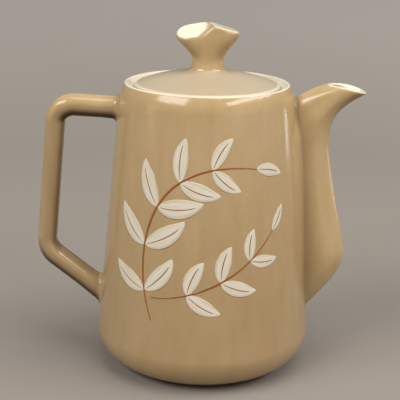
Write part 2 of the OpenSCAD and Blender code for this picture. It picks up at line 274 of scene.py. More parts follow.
def turned(name, outline, segments=256):
    """Turn an outline that starts and ends on the axis into a closed mesh."""
    rings = outline[1:-1]
    round_trip = turn(np.arange(segments) * 360 / segments)
    points = np.concatenate([
        [[0, 0, outline[0][1]]],
        [[r * c, r * s, z] for r, z in rings for c, s in round_trip],
        [[0, 0, outline[-1][1]]],
    ])
    step = np.arange(segments)
    after = (step + 1) % segments
    faces = [[0, 1 + b, 1 + a] for a, b in zip(step, after)]
    for ring in range(len(rings) - 1):
        low = 1 + ring * segments
        high = low + segments
        faces += [[low + a, low + b, high + b, high + a] for a, b in zip(step, after)]
    last = 1 + (len(rings) - 1) * segments
    faces += [[last + a, last + b, len(points) - 1] for a, b in zip(step, after)]
    return make_piece(name, points, faces)


body = turned("pot_body", body_outline())

# %% [markdown]
# ## The pour slot
# Behind the spout the wall has a tall slot with round ends. It could be drilled with a plain
# prism, but a potter runs a wet finger round the inner edge. So the cutter's rings follow the
# curved wall, and the last rings flare where they come out inside the pot.

# %% Cut the pour slot
slot_w, slot_low, slot_drop = 16, 66, 34
slot_soft, slot_steepest = 1.6, 0.97
slot_cut_depths = [-1.5, 0.04, 0.25, 0.6, 1.1, slot_soft, wall + 2]


def slot_ring(depth):
    """The slot's outline on the wall, this deep behind the pot's inner surface."""
    lift = np.clip(1 - depth / slot_soft, 0, slot_steepest)
    radius = slot_w / 2 + slot_soft * (1 - math.sqrt(1 - lift**2))
    middle = [slot_low + slot_w / 2, body_h - slot_drop - slot_w / 2]
    y, z = np.concatenate([
        arc((0, middle[1]), radius, 0, 180, steps=24),
        arc((0, middle[0]), radius, 180, 360, steps=24),
    ]).T
    along_wall = wall_r(z) + (depth - wall) / wall_side[0]
    return np.stack([np.sqrt(along_wall**2 - y**2), y, z], axis=-1)


def lofted(name, rings):
    """A closed mesh through rings that all have the same number of points."""
    count = len(rings[0])
    faces = [list(range(count))[::-1], [(len(rings) - 1) * count + i for i in range(count)]]
    for low in range(0, (len(rings) - 1) * count, count):
        for i in range(count):
            j = (i + 1) % count
            faces.append([low + i, low + j, low + count + j, low + count + i])
    return make_piece(name, np.concatenate(rings), faces)


def with_modifiers_applied(thing):
    """Keep what the modifiers make as a plain mesh, and take them off."""
    shown = thing.evaluated_get(bpy.context.evaluated_depsgraph_get())
    thing.data = bpy.data.meshes.new_from_object(shown)
    thing.modifiers.clear()


def cut_away(thing, cutter):
    """Cut one piece out of another, and throw the cutter away."""
    cut = thing.modifiers.new("cut", "BOOLEAN")
    cut.object = cutter
    cut.solver = "EXACT"
    with_modifiers_applied(thing)
    bpy.data.objects.remove(cutter)


cut_away(body, lofted("slot_cutter", [slot_ring(depth) for depth in slot_cut_depths]))
print("faces after the slot:", len(body.data.polygons))

# %% [markdown]
# ## Soft seams from a field of distances
# The spout, the handle and the knob grow out of another surface with a wiped, hollow seam.
# Bevelling a cut mesh there gives ragged corners. A distance field is kinder: it is a function
# that is negative in the clay and positive outside, and taking a smooth minimum of two such
# functions fills the seam like soft clay. A smooth maximum cuts instead, and rounds the edges of
# the cut.

# %% Smooth unions
def smooth_min(a, b, reach):
    """The smaller value, rounded off where the two are closer than the reach."""
    near = np.maximum(reach - np.abs(a - b), 0) / reach
    return np.minimum(a, b) - near * near * reach / 4


def smooth_max(a, b, reach):
    """The larger value, rounded off in the same way."""
    return -smooth_min(-a, -b, reach)


print("where two surfaces cross, a seam with a reach of 4 mm fills", -smooth_min(0, 0, 4), "mm")

# %% [markdown]
# ## A surface from a field
# Blender has no mesh for a function, so the surface is found on a lattice of values. Each cell
# that it crosses gets one point, and each lattice edge that it crosses gets one face of four
# sides, which bends more evenly than triangles would.

# %% The surface on a lattice
def lattice_surface(values):
    """Surface points and faces of a lattice of values, in lattice units."""
    cells = np.array(values.shape) - 1
    strides = np.array([cells[1] * cells[2], cells[2], 1])
    total = np.zeros((cells.prod(), 3))
    count = np.zeros(cells.prod())
    faces = []
    for axis in range(3):
        low = np.take(values, range(values.shape[axis] - 1), axis)
        high = np.take(values, range(1, values.shape[axis]), axis)
        crossed = (low < 0) != (high < 0)
        edge = np.argwhere(crossed)
        crossing = edge.astype(float)
        crossing[:, axis] += low[crossed] / (low[crossed] - high[crossed])
        around = []
        for back in ((0, 0), (1, 0), (1, 1), (0, 1)):
            cell = edge.copy()
            cell[:, (axis + 1) % 3] -= back[0]
            cell[:, (axis + 2) % 3] -= back[1]
            around.append(cell @ strides)
            np.add.at(total, around[-1], crossing)
            np.add.at(count, around[-1], 1)
        face = np.stack(around, axis=-1)
        leaving = low[crossed] < 0
        faces += [face[leaving], face[~leaving][:, ::-1]]
    used = count > 0
    number = np.cumsum(used) - 1
    return total[used] / count[used, None], number[np.concatenate(faces)]


corner_values = np.ones((3, 3, 3))
corner_values[1, 1, 1] = -1
print("faces round a single point in the clay:", len(lattice_surface(corner_values)[1]))

# %% [markdown]
# ## Sliding the points onto the surface
# The lattice's points lie near the surface but not on it, and that would show as ripples in the
# glaze. So each point slides along the field's slope until the field is zero there. Between the
# slides, each point is drawn towards its neighbours, which evens out the faces. The slope also
# gives the direction in which the surface looks, and so the shading is exact between the points
# too.

# %% Slide the points
relaxing = 0.6
least_steepness = 0.05


def slope_of(field, points, reach=0.15):
    """How fast the field changes along X, Y and Z."""
    slopes = []
    for axis in range(3):
        step = np.zeros(3)
        step[axis] = reach
        slopes.append(field(*(points + step).T) - field(*(points - step).T))
    return np.stack(slopes, axis=-1) / (2 * reach)


def field_mesh(field, low, high, cell, rounds=3):
    """Points, faces and outward directions of the surface where the field is zero."""
    low, high = np.array(low, float), np.array(high, float)
    counts = np.ceil((high - low) / cell).astype(int) + 1
    x, y, z = (low[i] + cell * np.arange(counts[i]) for i in range(3))
    points, faces = lattice_surface(field(x[:, None, None], y[None, :, None], z[None, None, :]))
    points = low + cell * points
    for round_number in range(rounds):
        if round_number:
            total, count = np.zeros_like(points), np.zeros(len(points))
            for a, b in ((0, 1), (1, 2), (2, 3), (3, 0)):
                for here, there in ((a, b), (b, a)):
                    np.add.at(total, faces[:, here], points[faces[:, there]])
                    np.add.at(count, faces[:, here], 1)
            points = mix(points, total / count[:, None], relaxing)
        for _ in range(2):
            slope = slope_of(field, points)
            steepness = np.maximum((slope**2).sum(axis=1), least_steepness)
            move = slope * (field(*points.T) / steepness)[:, None]
            points = points - np.clip(move, -cell / 2, cell / 2)
    slope = slope_of(field, points)
    return points, faces, slope / np.linalg.norm(slope, axis=1)[:, None]


def test_ball(x, y, z):
    """Distance from a ball with a radius of 5 mm."""
    return np.sqrt(x**2 + y**2 + z**2) - 5


ball_points, _, _ = field_mesh(test_ball, (-6, -6, -6), (6, 6, 6), 1)
print("a test ball is out of round by", float(np.abs(test_ball(*ball_points.T)).max()), "mm")

# %% [markdown]
# ## The field of the body
# Spout and handle only meet the straight wall and the shoulder, so two simple distances are
# enough: one to the leaning line of the wall and one to the shoulder's circle. Each joined piece
# reaches two millimetres into the wall, and its seam comes out of the wall's surface at a
# vanishing angle.

# %% Field of the body
seam_root = 2.0
seam_under = 0.04
root_margin = 0.5
least_spread = 1e-6


def body_field(x, y, z):
    """Distance from the outside of the wall, in millimetres."""
    r = np.hypot(x, y)
    flat = r * wall_side[0] + z * wall_side[1] - wall_line
    out, up = r - shoulder_c[0], z - shoulder_c[1]
    on_shoulder = up * wall_side[0] > out * wall_side[1]
    return np.where(on_shoulder, np.hypot(out, up) - shoulder_round, flat)


def joined(piece, ground, seam, spread=0, rise=0):
    """A piece with its soft seam on the ground surface, and a hidden root below that.

    Within the spread, the ground rises a little towards the piece.
    """
    risen = ground - rise * ease((np.maximum(spread, least_spread), 0), piece)
    surface = smooth_min(piece, risen, seam) + seam_under
    root = np.maximum(-ground - seam_root, piece - seam - spread - root_margin)
    return np.maximum(surface, root)


off_wall = float(body_field(wall_r(100) + 1, 0, 100))
print("one millimetre further out than the wall, the field is", round(off_wall, 3), "mm")

# %% [markdown]
# ## The spout from the side
# Seen from the side, the spout has a front line that swells to a belly, draws in to a waist and
# sweeps out to a beak, and a back line that leaves the wall under the rim. A potter draws such
# lines freehand. Bezier curves come close to that: each stretch is given by its ends, by the
# directions there, and by how strongly it is pulled along them.

# %% Spout sizes
spout_root_z, spout_root_rise = 36, 49
belly_z, belly_out = 73, 26.6
waist_drop, waist_out = 34, 20.3
tip_out, tip_drop, tip_rise = 47.6, 4.6, 28
root_w, belly_w, waist_w, mouth_w = 26, 36, 26, 21.5
spout_wall, mouth_len, mouth_back_rise, lip_bow = 3.6, 24.4, 0.3, 1.0
spout_inset, root_inset = 17.5, 10
root_pull, tip_pull = 0.466, 0.413
belly_pull, waist_pull, back_pull = (0.266, 0.12), (0.243, 0.44), (0.29, 0.44)
back_rise, back_end_share = 3, np.array([-0.25, 0.365])
bore_start, width_settles = 0.12, 0.8
spout_seam, lip_soft, bore_floor_soft = 1.4, 1.3, 3

waist_z = body_h - waist_drop
waist = np.array([wall_r(waist_z) + waist_out, waist_z])
belly = np.array([wall_r(belly_z) + belly_out, belly_z])
tip = np.array([rim_r + tip_out, body_h - tip_drop])
spout_back_r = wall_r(waist_z) - spout_inset
upward = np.array([0, 1])
root = np.array([wall_r(spout_root_z), spout_root_z]) - root_inset * turn(spout_root_rise)
for name, place in (("belly", belly), ("waist", waist), ("tip", tip)):
    print(name, "of the spout:", place[0].round(1), "mm out and", place[1].round(1), "mm up")

# %% [markdown]
# ## The two lines of the spout
# The front line has three stretches, from the root to the belly, the waist and the tip. A section
# is numbered by its place on the front line, from 0 to 3, and ends on the back line at the same
# share.

# %% Front line and back line
def curve(a, leave, pull_a, b, arrive, pull_b):
    """The four points of a Bezier curve that leaves and arrives in the given directions."""
    span = np.linalg.norm(b - a)
    return np.array([a, a + pull_a * span * leave, b - pull_b * span * arrive, b])


front_line = np.array([
    curve(root, turn(spout_root_rise), root_pull, belly, upward, belly_pull[0]),
    curve(belly, upward, belly_pull[1], waist, upward, waist_pull[0]),
    curve(waist, upward, waist_pull[1], tip, turn(tip_rise), tip_pull),
])
back_line = curve(
    np.array([spout_back_r, waist_z]), upward, back_pull[0],
    tip + mouth_len * back_end_share, turn(back_rise), back_pull[1],
)


def bezier(points, t):
    """Points on Bezier curves, each given by its four points."""
    t = t[..., None]
    p0, p1, p2, p3 = (points[..., i, :] for i in range(4))
    return (1 - t) ** 3 * p0 + 3 * (1 - t) ** 2 * t * p1 + 3 * (1 - t) * t**2 * p2 + t**3 * p3


def front_at(k):
    """Where the section with this number meets the front line."""
    stretch = np.clip(np.floor(k).astype(int), 0, 2)
    return bezier(front_line[stretch], k - stretch)


def back_at(k):
    """Where it ends at the back: straight up inside the wall, then on the back line."""
    straight = np.stack([np.full_like(k, spout_back_r), front_at(k)[..., 1]], axis=-1)
    return np.where((k < 2)[..., None], straight, bezier(back_line, np.maximum(k - 2, 0)))


def spout_width(k):
    """Width of a section across the view."""
    low = mix(root_w, belly_w, ease((0, 1), k))
    low = mix(low, waist_w, ease((1, 2), k))
    return mix(low, mouth_w, ease((2, 2 + width_settles), k))


print("front line at half of each stretch:", front_at(np.array([0.5, 1.5, 2.5])).round(1).tolist())

# %% [markdown]
# ## The field of the spout
# Sections between the two lines are ovals. To place a point, the section through it is found by
# halving the range in which it must lie, and the oval gives the distance. The bore is a smaller
# oval in the same section. Near the wall the sections are pinched, as the casting is there.

# %% Sections of the spout
spout_pinch, pinch_span, pinch_fades = 0.3, (0.5, -0.3), (2.9, 2.3)
last_section, halvings = 3.1, 24


def spout_section(x, z):
    """The section through a point: its number, and the point's place and half length along it."""
    x, z = np.broadcast_arrays(x, z)
    low, high = np.zeros(x.shape), np.full(x.shape, last_section)
    for _ in range(halvings):
        k = (low + high) / 2
        back = back_at(k)
        line = front_at(k) - back
        past = line[..., 0] * (z - back[..., 1]) > line[..., 1] * (x - back[..., 0])
        low, high = np.where(past, k, low), np.where(past, high, k)
    length = np.linalg.norm(line, axis=-1)
    from_middle = ((x - back[..., 0]) * line[..., 0] + (z - back[..., 1]) * line[..., 1]) / length
    return k, from_middle - length / 2, length / 2


def oval_distance(u, v, half_u, half_v):
    """Distance from an oval, near enough close to it."""
    size = np.hypot(u / half_u, v / half_v)
    steepness = np.hypot(u / half_u**2, v / half_v**2) / np.maximum(size, 1e-6)
    return (size - 1) / np.maximum(steepness, 1e-6)


bore_floor_z = front_at(np.array([bore_start]))[0, 1]


def spout_fields(x, y, z):
    """The outer form and the bore of the spout, which is pinched a little towards the wall."""
    k, u, half = spout_section(x, z)
    pinch = spout_pinch * ease(pinch_span, u / half) * ease(pinch_fades, k)
    side = spout_width(k) / 2 * (1 - pinch)
    outer = oval_distance(u, y, half, side)
    bore = oval_distance(u, y, np.maximum(half - spout_wall, 1), side - spout_wall)
    return outer, smooth_max(bore, bore_floor_z - z, bore_floor_soft)


at_tip, _ = spout_fields(tip[:1], np.zeros(1), tip[1:])
print("the tip lies", round(float(at_tip[0]), 3), "mm off the outer form")

# %% [markdown]
# ## The lip and the seam of the spout
# The lip is bowed a little, so a large circle cuts it, and only as far back as the mouth reaches.
# Where the spout meets the pot, the wall swells towards it. That swelling grows from the foot
# upwards and fades under the rim, so that the rim stays round.

# %% Mesh of the spout
flare_w, flare_h, flare_fades, flare_grows = 14, 2.4, (166, 146), (30, 130)
flare_least_w = 0.1
spout_low_corner, spout_high_corner, spout_cell = (36, -36, 12), (102, 36, 186), 0.85

mouth_fall = math.degrees(math.asin((tip_drop + mouth_back_rise) / mouth_len))
lip_round = (mouth_len**2 / 4 + lip_bow**2) / (2 * lip_bow)
lip_middle = tip - mouth_len / 2 * turn(-mouth_fall)
lip_c = lip_middle + (lip_bow - lip_round) * turn(90 - mouth_fall)


def lip_field(x, z):
    """Distance above the bowed lip, which ends at the back of the mouth."""
    out, up = x - lip_middle[0], z - lip_middle[1]
    along = out * turn(-mouth_fall)[0] + up * turn(-mouth_fall)[1]
    behind = np.maximum(-along - mouth_len / 2, 0)
    return np.hypot(x - lip_c[0], z - lip_c[1]) - lip_round - behind


def spout_field(x, y, z):
    """Distance from the finished spout: joined to the wall, cut at the lip and bored."""
    outer, bore = spout_fields(x, y, z)
    low = ease(flare_fades, z)
    rise = flare_h * low * ease(flare_grows, z)
    clay = joined(outer, body_field(x, y, z), spout_seam, flare_w * low + flare_least_w, rise)
    return smooth_max(smooth_max(clay, lip_field(x, z), lip_soft), -bore, lip_soft * 2)


spout_points, spout_faces, spout_normals = field_mesh(
    spout_field, spout_low_corner, spout_high_corner, spout_cell
)
spout = make_piece("pot_spout", spout_points, spout_faces, spout_normals)

# %% [markdown]
# ## The middle line of the handle
# The handle is a bent bar with two wide corners, and its middle line lies in one plane. The bar
# could be swept along that line, but its seams with the wall need a field. So the line is kept as
# points, with the share of the way along it at each, and the bar's thickness follows from that
# share.

# %% Handle sizes and middle line
handle_drop, arm_rise, upper_out, lower_out = 16.6, 1.7, 37.9, 37.5
corner_z, handle_low_z, upper_bend, lower_bend = 71.4, 44, 11.5, 15
upper_arm_t, grip_t, lower_arm_t = 13.8, 12, 13
handle_w, root_flare, width_follows = 14.5, 0.8, 0.6
handle_squareness = 2.5
upper_bend_share, lower_bend_share = (0.2, 0.4), (0.6, 0.8)
handle_stations = [0, 0.12, 0.26, 0.4, 0.62, 0.76, 0.88, 1]
handle_seam = 3.6
root_depth = 10

handle_top_z = body_h - handle_drop
upper_root = np.array([wall_r(handle_top_z), handle_top_z])
upper_corner = upper_root + [upper_out, arm_rise]
lower_corner = np.array([wall_r(corner_z) + lower_out, corner_z])
lower_root = np.array([wall_r(handle_low_z), handle_low_z])


def unit(vector):
    """The same direction with a length of one."""
    return vector / np.linalg.norm(vector)


def bend(a, b, c, radius, steps=24):
    """The round corner at b, between the directions to a and to c."""
    return softened([(*a, 0), (*b, radius), (*c, 0)], steps)[1:-1]


upper_start = upper_root + unit(upper_root - upper_corner) * root_depth
lower_end = lower_root + unit(lower_root - lower_corner) * root_depth
upper_arc = bend(upper_start, upper_corner, lower_corner, upper_bend)
lower_arc = bend(upper_corner, lower_corner, lower_end, lower_bend)
handle_line = np.concatenate([[upper_start], upper_arc, lower_arc, [lower_end]])
line_share = np.concatenate([
    [0], np.linspace(*upper_bend_share, len(upper_arc)),
    np.linspace(*lower_bend_share, len(lower_arc)), [1],
])
station_t = np.array([
    upper_arm_t + 2 * root_flare, upper_arm_t, upper_arm_t, grip_t,
    grip_t, lower_arm_t, lower_arm_t, lower_arm_t + 2 * root_flare,
])


def handle_thickness(share):
    """Thickness at a share of the way along the handle, eased from one station to the next."""
    thickness = np.full(share.shape, float(station_t[0]))
    for i in range(1, len(handle_stations)):
        change = station_t[i] - station_t[i - 1]
        thickness += change * ease((handle_stations[i - 1], handle_stations[i]), share)
    return thickness


handle_len = np.linalg.norm(np.diff(handle_line, axis=0), axis=1).sum()
print("the middle line is", round(handle_len), "mm long, with", len(handle_line), "points")

# %% [markdown]
# ## The field of the handle
# The distance of a point follows from the nearest place on the middle line, and from a section
# there that is between an oval and a rectangle. The bar is a little thicker where it meets the
# wall, and its seams are wider than the spout's, because a hand pulls on them.

# %% Mesh of the handle
handle_low_corner, handle_high_corner, handle_cell = (-108, -14, 26), (-44, 14, 180), 0.75


def near_line(x, z):
    """Distance to the side of the handle's middle line, and the share of the way along it."""
    x, z = np.broadcast_arrays(x, z)
    here = np.stack([x, z], axis=-1)[..., None, :]
    start, span = handle_line[:-1], np.diff(handle_line, axis=0)
    t = np.clip(((here - start) * span).sum(-1) / (span**2).sum(-1), 0, 1)
    away = here - start - t[..., None] * span
    nearest = np.argmin((away**2).sum(-1), axis=-1)[..., None]
    t = np.take_along_axis(t, nearest, -1)[..., 0]
    away = np.take_along_axis(away, nearest[..., None], -2)[..., 0, :]
    nearest = nearest[..., 0]
    share = mix(line_share[nearest], line_share[nearest + 1], t)
    return np.linalg.norm(away, axis=-1), share


def squared_distance(u, v, half_u, half_v, squareness):
    """Distance from a squared oval, near enough close to it."""
    a, b = np.abs(u / half_u), np.abs(v / half_v)
    size = np.maximum((a**squareness + b**squareness) ** (1 / squareness), 1e-6)
    slope_u = (a / size) ** (squareness - 1) / half_u
    slope_v = (b / size) ** (squareness - 1) / half_v
    return (size - 1) / np.maximum(np.hypot(slope_u, slope_v), 1e-6)


def handle_form(x, y, z):
    """Distance from the bar alone."""
    aside, share = near_line(-x, z)
    thickness = handle_thickness(share)
    width = handle_w + (thickness - grip_t) * width_follows
    return squared_distance(aside, y, thickness / 2, width / 2, handle_squareness)


def handle_field(x, y, z):
    """Distance from the handle with its two seams."""
    return joined(handle_form(x, y, z), body_field(x, y, z), handle_seam)


handle_points, handle_faces, handle_normals = field_mesh(
    handle_field, handle_low_corner, handle_high_corner, handle_cell
)
handle = make_piece("pot_handle", handle_points, handle_faces, handle_normals)

# %% [markdown]
# ## The lid
# The lid is turned too: a low dome with a rounded edge, and below it a flange that keeps it
# centred in the seat. Under the dome it is hollow. Its plate and its flange are one casting, so
# one outline makes both.

# %% Turn the lid
lid_gap, lid_edge_h, lid_edge_round, lid_chamfer = 0.6, 4.6, 1.8, 0.8
lid_rise, lid_t = 8.2, 5
flange_gap, flange_t, flange_h, flange_round = 0.9, 3.8, 12, 1.5
hollow_softness, under_edge_softness = 2.5, (0.5, 0.3, 0.5)

lid_r = seat_outer_r - lid_gap
lid_edge_c = np.array([lid_r, seat_z + lid_edge_h]) - lid_edge_round
dome_z = seat_z + lid_edge_h + lid_rise
dome_over = dome_z - lid_edge_c[1]
dome_r = (lid_edge_c[0] ** 2 + dome_over**2 - lid_edge_round**2) / (
    2 * (dome_over - lid_edge_round)
)
dome_c_z = dome_z - dome_r
dome_edge_turn = 90 - math.degrees(math.asin(lid_edge_c[0] / (dome_r - lid_edge_round)))
flange_r = seat_inner_r - flange_gap
flange_bore_r = flange_r - flange_t
hollow_r = dome_r - lid_t
hollow_turn = 90 - math.degrees(math.asin(flange_bore_r / hollow_r))


def lid_outline():
    """From the middle of the hollow, round the flange and the edge, to the dome's top."""
    hollow = arc((0, dome_c_z), hollow_r, 90, hollow_turn, steps=24)
    flange_low = seat_z - flange_h + flange_round
    edge = arc(lid_edge_c, lid_edge_round, 0, dome_edge_turn, steps=12)
    dome = arc((0, dome_c_z), dome_r, dome_edge_turn, 90, steps=48)
    inner_foot = arc((flange_bore_r + flange_round, flange_low), flange_round, 180, 270, steps=8)
    outer_foot = arc((flange_r - flange_round, flange_low), flange_round, 270, 360, steps=8)
    inner = softened([(*hollow[-2], 0), (*hollow[-1], hollow_softness), (*inner_foot[0], 0)])
    outer = softened([
        (*outer_foot[-1], 0), (flange_r, seat_z, under_edge_softness[0]),
        (lid_r - lid_chamfer, seat_z, under_edge_softness[1]),
        (lid_r, seat_z + lid_chamfer, under_edge_softness[2]), (*edge[0], 0),
    ])
    return np.concatenate([
        hollow[:-2], inner[:-1], inner_foot, outer_foot, outer[1:-1], edge, dome[1:],
    ])


lid_disc = turned("lid_disc", lid_outline())

# %% [markdown]
# ## The knob's form
# The knob flares from a round neck to a long head with two lobes. A section at any height is a
# squared oval, so the form is two half widths that grow with the height. On the right they grow
# more slowly than on the left.

# %% Form of the knob
knob_foot_r, knob_neck_r, head_len, head_w = 10.6, 9.5, 39.2, 22.6
left_face_h, right_face_h = 26.2, 29.2
left_fall, left_lean, right_fall, right_lean = 9, 16, 16, -1
step_rise, step_h, step_skew, step_curl = 38, 0.9, 0.26, 0.03
head_pinch, lobe_fullness, head_squareness = 0.08, 0.55, 2.1
foot_ends, left_flare, right_flare, flank_flare = 0.2, (0.24, 0.74), (0.2, 0.86), (0.2, 0.7)
knob_z = dome_c_z + math.sqrt(dome_r**2 - knob_foot_r**2)


def knob_form(x, y, z):
    """Distance from the knob before its faces are cut."""
    t = (z - knob_z) / right_face_h
    neck = mix(knob_foot_r, knob_neck_r, ease((0, foot_ends), t))
    flare = np.where(x < 0, ease(left_flare, t), ease(right_flare, t))
    spread = ease(flank_flare, t)
    half_x = mix(neck, head_len / 2, flare)
    across = np.clip(np.abs(x) / half_x, 0, 1) ** head_squareness
    lobed = mix(1, 1 - head_pinch + lobe_fullness * across, spread)
    half_y = mix(neck, head_w / 2, spread) * lobed
    return squared_distance(x, y, half_x, half_y, head_squareness)


print("the knob stands on the dome at", round(knob_z, 2), "mm")

# %% [markdown]
# ## The knob's cut faces
# Two sloping faces are cut across the top, with a step between them that curls round a little.
# Smooth maximum and minimum with the three planes round the cut edges by about a millimetre, as
# wear and glaze do.

# %% Mesh of the knob
knob_seam, knob_edge, knob_worn_edge, step_edge = 2.4, 2.4, 4.2, 0.8
knob_low_corner, knob_high_corner, knob_cell = (-22, -15, 183), (22, 15, 219), 0.45


def above_plane(x, y, z, height, rise_x, rise_y):
    """Distance above a plane that slopes both ways."""
    return (z - knob_z - height - rise_x * x - rise_y * y) / math.hypot(1, rise_x, rise_y)


def slope(degrees):
    """The rise of a plane per millimetre."""
    return math.tan(math.radians(degrees))


def knob_faces(x, y, z):
    """Height above the left face, the right face and the step between them."""
    left = above_plane(x, y, z, left_face_h, slope(left_fall), slope(left_lean))
    right = above_plane(x, y, z, right_face_h, -slope(right_fall), slope(right_lean))
    curled = x + step_curl * np.minimum(y, 0) ** 2
    step = above_plane(curled, y, z, left_face_h + step_h, slope(step_rise), step_skew)
    return left, right, step


def lid_field(x, y, z):
    """Distance above the lid's dome."""
    return np.sqrt(x**2 + y**2 + (z - dome_c_z) ** 2) - dome_r


def knob_field(x, y, z):
    """The left face keeps a crisp edge, and a thumb has worn the edges of the other two."""
    left, right, step = knob_faces(x, y, z)
    clay = joined(knob_form(x, y, z), lid_field(x, y, z), knob_seam)
    left_lobe = smooth_max(clay, left, knob_edge)
    middle = smooth_max(clay, step, knob_worn_edge)
    return smooth_max(smooth_min(left_lobe, middle, step_edge), right, knob_worn_edge / 2)


knob_points, knob_quads, knob_normals = field_mesh(
    knob_field, knob_low_corner, knob_high_corner, knob_cell
)
knob = make_piece("lid_knob", knob_points, knob_quads, knob_normals)

# %% [markdown]
# ## Where each glaze lies
# The pot was dipped tan on the outside and poured ivory inside. The ivory shows on the crest of
# the rim, inside the spout's mouth and on the two cut faces of the knob, where the tan was wiped
# off. Only the foot ring is bare clay. Each mask follows from a point's place: from its depth
# under the outer skin, or from its direction as seen from the middle of an edge's rounding.
# Darker tan is painted as shade low on the wall, under the handle and the spout and on the grip's
# inner side, and in the seams it is both pooled glaze and painted shade. The first lines of each
# cell name the spans over which a mask changes: turns in degrees, depths and heights in
# millimetres, and hanging as the share of a normal that points down.

# %% Masks of the body
crest_turns, glaze_depths, bare_heights = (40, 54), (2.5, 3.5), (0.9, 0.4)
low_shade_heights, low_shade_most, skin_depth = (175, 30), 0.2, 2


def turn_about(centre, r, z):
    """Direction in degrees from a centre of the outline to each point, from -90 to 270."""
    degrees = np.degrees(np.arctan2(z - centre[1], r - centre[0]))
    return np.where(degrees < -90, degrees + 360, degrees)


def low_shade(z):
    """Painted shade: a little darker low on the wall than high."""
    return low_shade_most * ease(low_shade_heights, z)


x, y, z = points_of(body)
r = np.hypot(x, y)
base_depth = -oval_distance(r - base_c[0], z - base_c[1], *base_round)
depth = np.where(z > base_c[1], -body_field(x, y, z), np.where(r > base_c[0], base_depth, z))
crest_ivory = ease(crest_turns, turn_about(crest_c, r, z)) * (z > shoulder_c[1])
set_mask(body, "ivory", np.maximum(crest_ivory, ease(glaze_depths, depth)))
set_mask(body, "bare", ease(bare_heights, z))
# Painted shade low on the wall, on the outer glaze only.
set_mask(body, "pool_and_shade", low_shade(z) * (depth < skin_depth))
print("points on the bare foot ring:", int((z < bare_heights[1]).sum()))

# %% [markdown]
# ## Glaze on the spout and the handle
# Both have a seam in which the glaze gathers, darkened also as painted shade, and both hang over:
# painted shade darkens them under the beak and under the upper arm, and on the side of the grip
# that faces the wall. A point hangs where its surface looks down, which the normals say. Near the
# wall the painted shade of the lower wall goes on, so that no step of tone shows at the seam.

# %% Masks of the spout and the handle
low_shade_reach, seam_middle, seam_pool_and_shade = (14, 2), 0.4, 0.35
lip_depths, wall_skin = (0.15, 0.5), 1
beak_hangs, beak_heights, beak_shade = (0.3, 0.95), (90, 130), 0.6
bar_hangs, crook_turns, crook_places, crook_shade_amount = (-0.3, 0.55), (0.1, 0.9), (-60, -75), 0.6


def pooled_and_shaded(z, off_wall, in_seam, hanging):
    """The darkest of painted shade low down, of pooled glaze and painted shade in a seam, and of
    painted shade under an overhang.
    """
    low_shaded = low_shade(z) * ease(low_shade_reach, off_wall)
    return np.maximum.reduce([low_shaded, seam_pool_and_shade * in_seam, hanging])


x, y, z = points_of(spout)
outer, _ = spout_fields(x, y, z)
wall_gap = body_field(x, y, z)
set_mask(spout, "ivory", ease(lip_depths, -outer) * (wall_gap > -wall_skin))
in_seam = ease((spout_seam + flare_h, seam_middle), np.abs(outer) + np.abs(wall_gap))
# Painted shade under the beak, where the surface looks down.
under_beak = beak_shade * ease(beak_hangs, -spout_normals[:, 2]) * ease(beak_heights, z)
set_mask(spout, "pool_and_shade", pooled_and_shaded(z, wall_gap, in_seam, under_beak))

x, y, z = points_of(handle)
wall_gap = body_field(x, y, z)
in_seam = ease((handle_seam, seam_middle), np.abs(handle_form(x, y, z)) + np.abs(wall_gap))
# Painted shade under the bar and on the grip's side that faces the wall.
under_bar = ease(bar_hangs, -handle_normals[:, 2])
crook_shade = crook_shade_amount * ease(crook_turns, handle_normals[:, 0]) * ease(crook_places, x)
set_mask(handle, "pool_and_shade", pooled_and_shaded(z, wall_gap, in_seam, np.maximum(under_bar, crook_shade)))
print("points under the beak:", int((under_beak > 0.1).sum()))
print("points under the bar:", int((under_bar > 0.1).sum()))

# %% [markdown]
# ## Glaze on the lid and the knob
# Hands and cloths have rubbed the lid's edge until the ivory shows through, and its hollow was
# left ivory too. The top of the lid has gone satin, and the knob's foot with it, and their paler
# tan is partly a painted sheen. On the knob the cut faces are ivory, but only inside its outer
# form, so that the edges stay crisp. Under the knob's lobes the tan is darkened as painted shade.

# %% Masks of the lid and the knob
edge_worn, edge_whole, edge_ivory = (5, 30), (80, 55), 0.6
seat_margin, plate_skin = 0.3, 2.5
left_cut, left_ends, right_cut, cut_depths = (-0.85, -0.5), (-0.2, 0.3), (-0.55, -0.2), (0.1, 0.4)
satin_and_sheen_heights, lobe_hangs, lobe_heights, lobe_shade_amount = (1.6, 0.2), (-0.1, 0.7), (4, 10), 0.3

x, y, z = points_of(lid_disc)
r = np.hypot(x, y)
edge_turn = turn_about(lid_edge_c, r, z)
worn_edge = edge_ivory * ease(edge_worn, edge_turn) * ease(edge_whole, edge_turn)
worn_edge = worn_edge * (r > lid_edge_c[0])
in_hollow = (r < flange_r + seat_margin) & (lid_field(x, y, z) < -plate_skin)
set_mask(lid_disc, "ivory", np.maximum(worn_edge, in_hollow | (z < seat_z + seat_margin)))
# Satin glaze with a painted sheen: a paler tan over the whole lid.
set_mask(lid_disc, "satin_and_sheen", np.ones(len(z)))

x, y, z = points_of(knob)
over_lid = lid_field(x, y, z)
left, right, step = knob_faces(x, y, z)
on_cuts = np.maximum(ease(left_cut, left) * ease(left_ends, step), ease(right_cut, right))
set_mask(knob, "ivory", ease(cut_depths, -knob_form(x, y, z)) * on_cuts)
set_mask(knob, "satin_and_sheen", ease(satin_and_sheen_heights, over_lid))
# Painted shade under the knob's lobes, where the surface looks down.
under_lobes = ease(lobe_hangs, -knob_normals[:, 2]) * ease(lobe_heights, over_lid)
set_mask(knob, "pool_and_shade", lobe_shade_amount * under_lobes)
print("ivory points on the knob:", int((on_cuts > 0.5).sum()))

# %% [markdown]
# ## Colours and nodes
# A maker picks colours from a screen or a chart, and those are sRGB values, while a shader counts
# in linear light, so one function turns one into the other. Another adds a node with its settings
# and its links. That is all the help that a tree of nodes needs.

